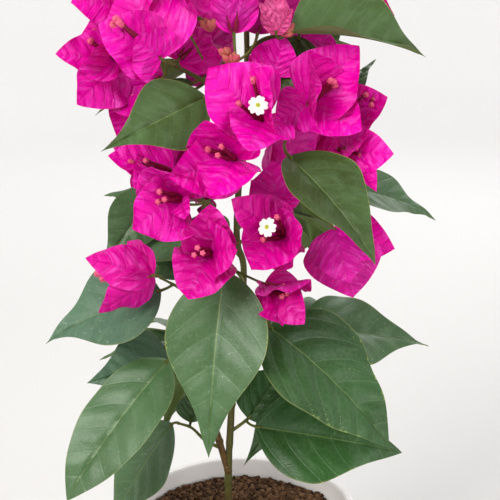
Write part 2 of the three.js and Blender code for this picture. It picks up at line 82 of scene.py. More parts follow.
# A blade of a leaf or bract: veins run off the midrib at a slope, on the blade's own map.
# look: blade and deep are its colour and the mottling, vein, rib and margin the lines on it, and pale is a
# painted highlight along its crease ridges.
def bladeMaterial(name, look):
    material, tree = newMaterial(name)
    place = addNode(tree, "UVMap", {"uv_map": "blade"})
    parts = addNode(tree, "SeparateXYZ", links={0: place.outputs[0]})
    fromRib = addNode(tree, "Math", {"operation": "SUBTRACT"}, {1: 0.5}, {0: parts.outputs[0]})
    apart = addNode(tree, "Math", {"operation": "ABSOLUTE"}, links={0: fromRib.outputs[0]})
    solid = addNode(tree, "TexCoord")
    drift = addNode(tree, "TexNoise", values={"Scale": look["driftScale"], "Detail": 2.0},
                    links={"Vector": solid.outputs["Object"]})
    wander = addNode(tree, "Math", {"operation": "MULTIPLY_ADD"}, {1: 0.08, 2: -0.04}, {0: drift.outputs[0]})
    climb = addNode(tree, "Math", {"operation": "MULTIPLY_ADD"}, {1: -look["slope"]},
                    {0: apart.outputs[0], 2: parts.outputs[1]})
    square = addNode(tree, "Math", {"operation": "MULTIPLY"},
                     links={0: apart.outputs[0], 1: apart.outputs[0]})
    curved = addNode(tree, "Math", {"operation": "MULTIPLY_ADD"}, {1: -look["arch"]},
                     {0: square.outputs[0], 2: climb.outputs[0]})
    bent = addNode(tree, "Math", {"operation": "ADD"}, links={0: curved.outputs[0], 1: wander.outputs[0]})
    turnsOf = addNode(tree, "Math", {"operation": "MULTIPLY"}, {1: look["veins"]}, {0: bent.outputs[0]})
    fromVein = addNode(tree, "Math", {"operation": "PINGPONG"}, {1: 0.5}, {0: turnsOf.outputs[0]})
    vein = addNode(tree, "MapRange", {"interpolation_type": "SMOOTHSTEP"},
                   {1: 0.0, 2: look["veinWidth"], 3: 1.0, 4: 0.0}, {0: fromVein.outputs[0]})
    rib = addNode(tree, "MapRange", {"interpolation_type": "SMOOTHSTEP"},
                  {1: look["ribWidth"] * 0.35, 2: look["ribWidth"], 3: 1.0, 4: 0.0}, {0: apart.outputs[0]})
    edge = addNode(tree, "Attribute", {"attribute_name": "edge"})
    margin = addNode(tree, "MapRange", {"interpolation_type": "SMOOTHSTEP"},
                     {1: look["marginFrom"], 2: 1.0, 3: 0.0, 4: look["marginShare"]},
                     {0: edge.outputs["Fac"]})
    net = addNode(tree, "TexVoronoi", {"feature": "DISTANCE_TO_EDGE"}, {"Scale": look["netScale"]},
                  {"Vector": solid.outputs["Object"]})
    mesh = addNode(tree, "MapRange", {"interpolation_type": "SMOOTHSTEP"},
                   {1: 0.0, 2: 0.16, 3: look["netShare"], 4: 0.0}, {0: net.outputs[0]})

    mottle = addNode(tree, "MapRange", values={1: 0.38, 2: 0.66, 3: 0.0, 4: 1.0}, links={0: drift.outputs[0]})
    base = addNode(tree, "Mix", {"data_type": "RGBA"}, {6: linear(look["blade"]), 7: linear(look["deep"])},
                   {0: mottle.outputs[0]})
    netted = addNode(tree, "Mix", {"data_type": "RGBA"}, {7: linear(look["vein"])},
                     {0: mesh.outputs[0], 6: base.outputs[2]})
    veinFade = addNode(tree, "Math", {"operation": "MULTIPLY"}, {1: look["veinShare"]}, {0: vein.outputs[0]})
    veined = addNode(tree, "Mix", {"data_type": "RGBA"}, {7: linear(look["vein"])},
                     {0: veinFade.outputs[0], 6: netted.outputs[2]})
    ribFoot = addNode(tree, "MapRange",
                      values={1: 0.0, 2: 1.0, 3: look["ribShare"], 4: look["ribShare"] * 0.3},
                      links={0: parts.outputs[1]})
    ribFade = addNode(tree, "Math", {"operation": "MULTIPLY"},
                      links={0: rib.outputs[0], 1: ribFoot.outputs[0]})
    ribbed = addNode(tree, "Mix", {"data_type": "RGBA"}, {7: linear(look["rib"])},
                     {0: ribFade.outputs[0], 6: veined.outputs[2]})
    colour = addNode(tree, "Mix", {"data_type": "RGBA"}, {7: linear(look["margin"])},
                     {0: margin.outputs[0], 6: ribbed.outputs[2]})
    if look.get("specks"):
        dust = addNode(tree, "TexNoise", values={"Scale": 420.0, "Detail": 4.0, "Roughness": 0.7},
                       links={"Vector": solid.outputs["Object"]})
        speck = addNode(tree, "MapRange", values={1: 0.62, 2: 0.72, 3: 0.0, 4: look["specks"]},
                        links={0: dust.outputs[0]})
        colour = addNode(tree, "Mix", {"data_type": "RGBA"}, {7: linear("#c9d2c4")},
                         {0: speck.outputs[0], 6: colour.outputs[2]})

    alongVein = addNode(tree, "Math", {"operation": "MULTIPLY"}, {1: look["creases"]}, {0: bent.outputs[0]})
    fromMiddle = addNode(tree, "Math", {"operation": "MULTIPLY"}, {1: 4.0}, {0: apart.outputs[0]})
    ownShift = addNode(tree, "Math", {"operation": "MULTIPLY"}, {1: 9.0}, {0: drift.outputs[0]})
    crumpled = addNode(tree, "CombineXYZ", links={0: alongVein.outputs[0], 1: fromMiddle.outputs[0],
                                                  2: ownShift.outputs[0]})
    crease = addNode(tree, "TexNoise", values={"Scale": 1.0, "Detail": 3.0, "Roughness": 0.55},
                     links={"Vector": crumpled.outputs[0]})
    # painted highlight: the crease ridges are lightened towards the pale colour, standing in for light that
    # catches them
    paintedRidgeHighlight = addNode(tree, "MapRange", values={1: 0.5, 2: 0.82, 3: 0.0, 4: look["paleShare"]},
                   links={0: crease.outputs[0]})
    colour = addNode(tree, "Mix", {"data_type": "RGBA"}, {7: linear(look["pale"])},
                     {0: paintedRidgeHighlight.outputs[0], 6: colour.outputs[2]})

    grain = addNode(tree, "TexNoise", values={"Scale": look["grainScale"], "Detail": 3.0},
                    links={"Vector": solid.outputs["Object"]})
    creased = addNode(tree, "Math", {"operation": "MULTIPLY_ADD"}, {1: look["creaseHeight"]},
                      {0: crease.outputs[0], 2: grain.outputs[0]})
    height = addNode(tree, "Math", {"operation": "MULTIPLY_ADD"}, {1: -0.5}, {0: vein.outputs[0],
                                                                            2: creased.outputs[0]})
    bump = addNode(tree, "Bump", values={"Strength": look["bump"], "Distance": 0.0006},
                   links={"Height": height.outputs[0]})
    skin = addNode(tree, "BsdfPrincipled", values={"Roughness": look["roughness"], "IOR": 1.45,
                   "Specular IOR Level": look["specular"]},
                   links={"Base Color": colour.outputs[2], "Normal": bump.outputs[0]})
    shone = addNode(tree, "Mix", {"data_type": "RGBA", "blend_type": "MULTIPLY"},
                    {0: 1.0, 7: linear(look["glow"])}, {6: colour.outputs[2]})
    through = addNode(tree, "BsdfTranslucent", links={"Color": shone.outputs[2]})
    both = addNode(tree, "MixShader", values={0: look["through"]},
                   links={1: skin.outputs[0], 2: through.outputs[0]})
    addOutput(tree, both.outputs[0])
    return material


leafLook = {
    "blade": "#42623a", "deep": "#36542b", "vein": "#62825a", "rib": "#86985c", "margin": "#868a50",
    "driftScale": 22.0, "slope": 0.5, "arch": 1.6, "veins": 6.0, "veinWidth": 0.07, "ribWidth": 0.0055,
    "veinShare": 0.17, "ribShare": 0.55, "marginFrom": 0.965, "marginShare": 0.55, "netScale": 260.0,
    "netShare": 0.1, "grainScale": 900.0, "bump": 0.3, "roughness": 0.4, "specular": 0.5, "through": 0.1,
    "glow": "#e8f0a0", "creases": 9.0, "creaseHeight": 0.6, "pale": "#6c8a66", "paleShare": 0.3,
}
bractLook = {
    "blade": "#fe02c6", "deep": "#f000b4", "vein": "#b80080", "rib": "#a00060", "margin": "#f84cca",
    "driftScale": 30.0, "slope": 0.6, "arch": 0.9, "veins": 5.0, "veinWidth": 0.07, "ribWidth": 0.008,
    "veinShare": 0.22, "ribShare": 0.42, "marginFrom": 0.97, "marginShare": 0.4, "netScale": 330.0,
    "netShare": 0.12, "grainScale": 700.0, "bump": 0.75, "roughness": 0.36, "specular": 0.32, "through": 0.42,
    "glow": "#ffe6f6", "creases": 13.0, "creaseHeight": 2.1, "pale": "#ff7cf2", "paleShare": 0.55,
}

# Leaf skin is a waxy cuticle over green tissue: a soft, half-matt sheen over a deep green.
leafMature = bladeMaterial("leaf_mature", {**leafLook, "specks": 0.22})
# Glossier and darker where the blade is young and firm.
leafGlossy = bladeMaterial("leaf_glossy", {**leafLook, "blade": "#31572a", "deep": "#224416",
                                           "roughness": 0.34, "bump": 0.45, "specular": 0.38})
# Old lower leaves carry a pale bloom of dust and small scratches; their blade is also lighter, as painted
# light where such a leaf sits in shade behind others.
leafDustyAndLit = bladeMaterial("leaf_dusty_and_lit", {**leafLook, "blade": "#4d6f54", "deep": "#416049",
                                         "vein": "#718c72", "roughness": 0.5, "specks": 0.4})
# Upper leaves in full light turn olive, with a thin straw-coloured margin.
leafOlive = bladeMaterial("leaf_olive", {**leafLook, "blade": "#40592b", "deep": "#2e3d11", "vein": "#5c7844",
                                         "margin": "#98904e", "marginFrom": 0.975, "marginShare": 0.8,
                                         "veinShare": 0.16, "roughness": 0.42, "specular": 0.36})
# A leaf's underside has no wax, so it is paler and matt, with raised veins.
leafBelow = bladeMaterial("leaf_underside", {**leafLook, "blade": "#738a4c", "deep": "#647c42",
                                             "vein": "#889658", "roughness": 0.7, "specular": 0.25})
# Bracts are paper-thin coloured leaves: matt, saturated, creased, and lit through from behind.
bractBright = bladeMaterial("bract_bright", bractLook)
bractDeep = bladeMaterial("bract_deep", {**bractLook, "blade": "#ec02ac", "deep": "#da0098"})
bractBelow = bladeMaterial("bract_back", {**bractLook, "blade": "#e41cb4", "deep": "#d00c9c",
                                          "veinShare": 0.4, "netShare": 0.2})
# Opening bracts are still pink, with dark veins.
bractYoung = bladeMaterial("bract_young", {**bractLook, "blade": "#ee62aa", "deep": "#dc4a92",
                                           "vein": "#8e0f48", "rib": "#7d0c3d", "veinShare": 0.62,
                                           "veinWidth": 0.05, "netShare": 0.32, "pale": "#f49ac8"})


# Smooth tissue of flower tubes, buds and petals: one colour with soft streaks of a second.
def tissueMaterial(name, colours, streakScale, roughness, through):
    material, tree = newMaterial(name)
    solid = addNode(tree, "TexCoord")
    streak = addNode(tree, "TexNoise", values={"Scale": streakScale, "Detail": 3.0},
                     links={"Vector": solid.outputs["Object"]})
    share = addNode(tree, "MapRange", values={1: 0.35, 2: 0.65, 3: 0.0, 4: 1.0}, links={0: streak.outputs[0]})
    colour = addNode(tree, "Mix", {"data_type": "RGBA"}, {6: linear(colours[0]), 7: linear(colours[1])},
                     {0: share.outputs[0]})
    bump = addNode(tree, "Bump", values={"Strength": 0.25, "Distance": 0.0003},
                   links={"Height": streak.outputs[0]})
    skin = addNode(tree, "BsdfPrincipled",
                   values={"Roughness": roughness, "IOR": 1.42, "Specular IOR Level": 0.3},
                   links={"Base Color": colour.outputs[2], "Normal": bump.outputs[0]})
    if not through:
        addOutput(tree, skin.outputs[0])
        return material
    back = addNode(tree, "BsdfTranslucent", links={"Color": colour.outputs[2]})
    both = addNode(tree, "MixShader", values={0: through}, links={1: skin.outputs[0], 2: back.outputs[0]})
    addOutput(tree, both.outputs[0])
    return material


tubeSkin = tissueMaterial("flower_tube", ("#620828", "#86143c"), 900.0, 0.5, 0)
tubeTip = tissueMaterial("flower_tube_tip", ("#dc6484", "#b83c60"), 1300.0, 0.55, 0)
petalWhite = tissueMaterial("petal_white", ("#e9e6e2", "#e2ddd8"), 500.0, 0.6, 0.1)
flowerEye = tissueMaterial("flower_eye", ("#b5b23c", "#8f9a2c"), 900.0, 0.6, 0)
budSkin = tissueMaterial("flower_bud", ("#b23e58", "#a4604c"), 420.0, 0.6, 0)


# Bark of a young stem: smooth green to brown skin with fine streaks and small pale dots along it.
def barkMaterial(name, colours, dot, roughness):
    material, tree = newMaterial(name)
    solid = addNode(tree, "TexCoord")
    stretched = addNode(tree, "Mapping", values={"Scale": (1.0, 1.0, 0.12)},
                        links={"Vector": solid.outputs["Object"]})
    streak = addNode(tree, "TexNoise", values={"Scale": 1400.0, "Detail": 4.0},
                     links={"Vector": stretched.outputs[0]})
    patch = addNode(tree, "TexNoise", values={"Scale": 60.0, "Detail": 2.0},
                    links={"Vector": solid.outputs["Object"]})
    first = addNode(tree, "Mix", {"data_type": "RGBA"}, {6: linear(colours[0]), 7: linear(colours[1])},
                    {0: streak.outputs[0]})
    patched = addNode(tree, "MapRange", values={1: 0.45, 2: 0.62, 3: 0.0, 4: 0.8},
                      links={0: patch.outputs[0]})
    second = addNode(tree, "Mix", {"data_type": "RGBA"}, {7: linear(colours[2])},
                     {0: patched.outputs[0], 6: first.outputs[2]})
    dots = addNode(tree, "TexVoronoi", values={"Scale": 420.0}, links={"Vector": solid.outputs["Object"]})
    dotted = addNode(tree, "MapRange", values={1: 0.12, 2: 0.2, 3: 0.6, 4: 0.0}, links={0: dots.outputs[0]})
    colour = addNode(tree, "Mix", {"data_type": "RGBA"}, {7: linear(dot)},
                     {0: dotted.outputs[0], 6: second.outputs[2]})
    bump = addNode(tree, "Bump", values={"Strength": 0.5, "Distance": 0.0004},
                   links={"Height": streak.outputs[0]})
    skin = addNode(tree, "BsdfPrincipled",
                   values={"Roughness": roughness, "IOR": 1.45, "Specular IOR Level": 0.35},
                   links={"Base Color": colour.outputs[2], "Normal": bump.outputs[0]})
    addOutput(tree, skin.outputs[0])
    return material


greenBark = barkMaterial("bark_green", ("#56561f", "#3f421a", "#4a3c1c"), "#8a8450", 0.55)
brownBark = barkMaterial("bark_brown", ("#553c1c", "#3b2a12", "#6b5026"), "#9a8258", 0.7)
twigSkin = barkMaterial("twig_skin", ("#5a6424", "#474d1c", "#67602a"), "#8a8450", 0.5)


# Potting mix: crumbs of peat and fine bark, dull and nearly black in their gaps.
def crumbMaterial(name, light, dark):
    material, tree = newMaterial(name)
    solid = addNode(tree, "TexCoord")
    coarse = addNode(tree, "TexNoise", values={"Scale": 700.0, "Detail": 5.0},
                     links={"Vector": solid.outputs["Object"]})
    share = addNode(tree, "MapRange", values={1: 0.35, 2: 0.68, 3: 0.0, 4: 1.0}, links={0: coarse.outputs[0]})
    colour = addNode(tree, "Mix", {"data_type": "RGBA"}, {6: linear(dark), 7: linear(light)},
                     {0: share.outputs[0]})
    bump = addNode(tree, "Bump", values={"Strength": 0.8, "Distance": 0.0006},
                   links={"Height": coarse.outputs[0]})
    skin = addNode(tree, "BsdfPrincipled", values={"Roughness": 0.92, "Specular IOR Level": 0.2},
                   links={"Base Color": colour.outputs[2], "Normal": bump.outputs[0]})
    addOutput(tree, skin.outputs[0])
    return material


crumbDark = crumbMaterial("potting_mix_dark", "#4a3220", "#2a1a0f")
crumbMid = crumbMaterial("potting_mix_mid", "#64462e", "#3f2a1a")
crumbLight = crumbMaterial("potting_mix_light", "#7d5d42", "#553b28")


# Glazed ceramic: a white glaze with a soft wide gloss and a faint waviness from firing.
def glazeMaterial(name):
    material, tree = newMaterial(name)
    solid = addNode(tree, "TexCoord")
    waver = addNode(tree, "TexNoise", values={"Scale": 28.0, "Detail": 3.0},
                    links={"Vector": solid.outputs["Object"]})
    colour = addNode(tree, "Mix", {"data_type": "RGBA"}, {6: linear("#f6f1f1"), 7: linear("#efe9e9")},
                     {0: waver.outputs[0]})
    rough = addNode(tree, "MapRange", values={1: 0.3, 2: 0.7, 3: 0.3, 4: 0.42}, links={0: waver.outputs[0]})
    bump = addNode(tree, "Bump", values={"Strength": 0.12, "Distance": 0.0008},
                   links={"Height": waver.outputs[0]})
    glaze = addNode(tree, "BsdfPrincipled", values={"IOR": 1.5},
                    links={"Base Color": colour.outputs[2], "Roughness": rough.outputs[0],
                           "Normal": bump.outputs[0]})
    addOutput(tree, glaze.outputs[0])
    return material


potGlaze = glazeMaterial("glazed_ceramic")


# Matt studio paint with painted shade: a shade darker towards the middle, near the lamps, so that the sweep
# reads as one even tone.
def paintMaterial(name, near, far, reach):
    material, tree = newMaterial(name)
    solid = addNode(tree, "TexCoord")
    away = addNode(tree, "VectorMath", {"operation": "LENGTH"}, links={0: solid.outputs["Object"]})
    share = addNode(tree, "MapRange", {"interpolation_type": "SMOOTHSTEP"},
                    {1: reach[0], 2: reach[1], 3: 0.0, 4: 1.0}, {0: away.outputs["Value"]})
    colour = addNode(tree, "Mix", {"data_type": "RGBA"}, {6: linear(near), 7: linear(far)},
                     {0: share.outputs[0]})
    paint = addNode(tree, "BsdfPrincipled", values={"Roughness": 0.9, "Specular IOR Level": 0.1},
                    links={"Base Color": colour.outputs[2]})
    addOutput(tree, paint.outputs[0])
    return material


stagePaint = paintMaterial("matt_studio_paint", "#c9c8c6", "#f4f3f2", (0.6, 3.0))
print("materials made")


# The plant's rule, as its solids have it: its blades' forms, and its stalks' radii in mm.
leafForm = {"outline": (0.75, 1.5), "cup": -0.05, "fold": 0.18}
bractForm = {"outline": (0.52, 0.95), "cup": 0.3, "fold": 0.0, "share": 0.92, "rootOut": 0.6}
twigRadius = 0.95
petioleRadius = 0.9
stalkRadius = 0.8


def chance(*keys):
    # a repeatable number from 0 to 1 for a set of keys
    total = sum(key * weight for key, weight in zip(keys, (12.9898, 78.233, 37.719, 93.989)))
    value = math.sin(total) * 43758.5453
    return value - math.floor(value)


def heading(turn, rise):
    t, r = math.radians(turn), math.radians(rise)
    return np.array([math.cos(r) * math.cos(t), math.cos(r) * math.sin(t), math.sin(r)])


def bladeAxes(turn, rise, roll):
    along, off = heading(turn, rise), heading(turn, rise + 90)
    across = np.cross(along, off)
    q = math.radians(roll)
    return along, across * math.cos(q) + off * math.sin(q), off * math.cos(q) - across * math.sin(q)


def bractAxes(turn, rise, spin, opening, k):
    axis = heading(turn, rise)
    _, across, off = bladeAxes(turn, rise, 0)
    q, o = math.radians(spin + 120 * k), math.radians(opening)
    out = off * math.cos(q) + across * math.sin(q)
    along = axis * math.cos(o) + out * math.sin(o)
    inner = axis * math.sin(o) - out * math.cos(o)
    return (along, np.cross(along, inner), inner), out


def outlineShare(t, outline):
    swell, draw = outline
    top = swell / (swell + draw)
    return (t / top) ** swell * ((1 - t) / (1 - top)) ** draw


def leaf(x, y, z, turn, rise, roll, length, share, bend, **looks):
    return {"kind": "leaf", "root": np.array([x, y, z], float), "turn": turn, "rise": rise, "roll": roll,
            "length": length, "share": share, "bend": bend, "looks": looks}


def bloom(x, y, z, turn, rise, spin, length, opening, bend, flowers=0, **looks):
    return {"kind": "bloom", "root": np.array([x, y, z], float), "turn": turn, "rise": rise, "spin": spin,
            "length": length, "opening": opening, "bend": bend, "flowers": flowers, "looks": looks}


def bract(tip, face, bend=24, wide=1.0, **looks):
    # a bract that ends at this offset from its bloom's root, with its inner side facing this way
    return {"tip": np.array(tip, float), "face": np.array(face, float), "bend": bend, "wide": wide,
            "looks": looks}


def bladesOf(spray):
    if spray["kind"] == "leaf":
        axes = bladeAxes(spray["turn"], spray["rise"], spray["roll"])
        return [{"root": spray["root"], "axes": axes, "length": spray["length"],
                 "width": spray["length"] * spray["share"], "bend": spray["bend"], **leafForm}]
    made = []
    for k in range(3):
        axes, out = bractAxes(spray["turn"], spray["rise"], spray["spin"], spray["opening"], k)
        made.append({"root": spray["root"] + out * bractForm["rootOut"], "axes": axes,
                     "length": spray["length"], "width": spray["length"] * bractForm["share"],
                     "bend": spray["bend"], **bractForm})
    return made


# Points over a blade by the solids' own formula: t runs from root to tip, u from edge to edge.
def bladePoints(blade, t, u):
    along, across, off = blade["axes"]
    b = math.radians(blade["bend"])
    reach = t if abs(b) < 1e-6 else np.sin(b * t) / b
    drop = 0 * t if abs(b) < 1e-6 else (1 - np.cos(b * t)) / b
    half = blade["width"] / 2 * outlineShare(np.clip(t, 0.04, 0.985), blade["outline"])
    height = half * (blade["fold"] * np.abs(u) + blade["cup"] * u * u)
    normal = off * np.cos(b * t)[:, None] + along * np.sin(b * t)[:, None]
    return (blade["root"] + along * (blade["length"] * reach)[:, None]
            - off * (blade["length"] * drop)[:, None]
            + across * (u * half)[:, None] + normal * height[:, None])


# where on a blade its room is measured, along it and across it
markRows, markColumns = np.meshgrid([0.2, 0.3, 0.4, 0.5, 0.6, 0.7, 0.8, 0.9, 1],
                                    [-1, -0.6, -0.2, 0.2, 0.6, 1], indexing="ij")


def pointsOf(spray):
    return np.concatenate([bladePoints(b, markRows.ravel(), markColumns.ravel()) for b in bladesOf(spray)])


# A smooth curve through points, as the solids' limbs follow.
def curvePoint(points, t):
    last = len(points) - 1
    i = min(int(last * t), last - 1)
    w = last * t - i
    before = points[i - 1] if i > 0 else 2 * points[0] - points[1]
    after = points[i + 2] if i + 2 <= last else 2 * points[last] - points[last - 1]
    a, b = points[i], points[i + 1]
    ta, tb = 0.5 * (b - before), 0.5 * (after - a)
    return a + ta * w + (3 * (b - a) - 2 * ta - tb) * w ** 2 + (2 * (a - b) + ta + tb) * w ** 3


def curveWay(points, t):
    step = curvePoint(points, min(t + 1e-4, 1)) - curvePoint(points, max(t - 1e-4, 0))
    return step / np.linalg.norm(step)


soilTop = soilBox[1].z / mm
limbs = {
    "main_stem": {"points": [(-8.5, 0, soilTop + 0.3), (-9, 0, 140), (-8, 0, 170), (-4, 2, 230), (1, 0, 280),
                             (-3, 0, 300), (-2, 0, 330), (2, 0, 360), (3, 0, 410), (2, 0, 452)],
                  "foot": 2.4, "tip": 1.5, "flare": 1.1, "steps": 22},
    "left_cane": {"on": "main_stem", "at": 149, "foot": 2.3, "tip": 1.7, "steps": 12,
                  "points": [(-13, -2, 165), (-17, -4, 180), (-24, -6, 200), (-28, -8, 230), (-26, -8, 262)]},
    "left_branch": {"on": "main_stem", "at": 294, "foot": 1.5, "tip": 1.2, "steps": 6,
                    "points": [(-9, -2, 304), (-16, -6, 320)]},
    "right_branch": {"on": "main_stem", "at": 318, "foot": 1.5, "tip": 1.2, "steps": 6,
                     "points": [(12, 5, 326), (32, 2, 331)]},
    "high_right_branch": {"on": "main_stem", "at": 350, "foot": 1.5, "tip": 1.2, "steps": 6,
                          "points": [(12, -6, 360), (30, -12, 370)]},
    "high_left_branch": {"on": "main_stem", "at": 380, "foot": 1.6, "tip": 1.2, "steps": 8,
                         "points": [(-10, -5, 388), (-24, -10, 397), (-38, -14, 405)]},
    "top_right_branch": {"on": "main_stem", "at": 410, "foot": 1.5, "tip": 1.2, "steps": 6,
                         "points": [(12, -4, 418), (22, -8, 421)]},
}


# How far along a limb its line stands at this height.
def heightOn(limb, z):
    low, high = 0.0, 1.0
    for _ in range(40):
        middle = (low + high) / 2
        if curvePoint(limb["line"], middle)[2] < z:
            low = middle
        else:
            high = middle
    return (low + high) / 2


for limb in limbs.values():
    line = [np.array(p, float) for p in limb["points"]]
    if "on" in limb:
        carrier = limbs[limb["on"]]
        line.insert(0, curvePoint(carrier["line"], heightOn(carrier, limb["at"])))
    limb["line"] = line

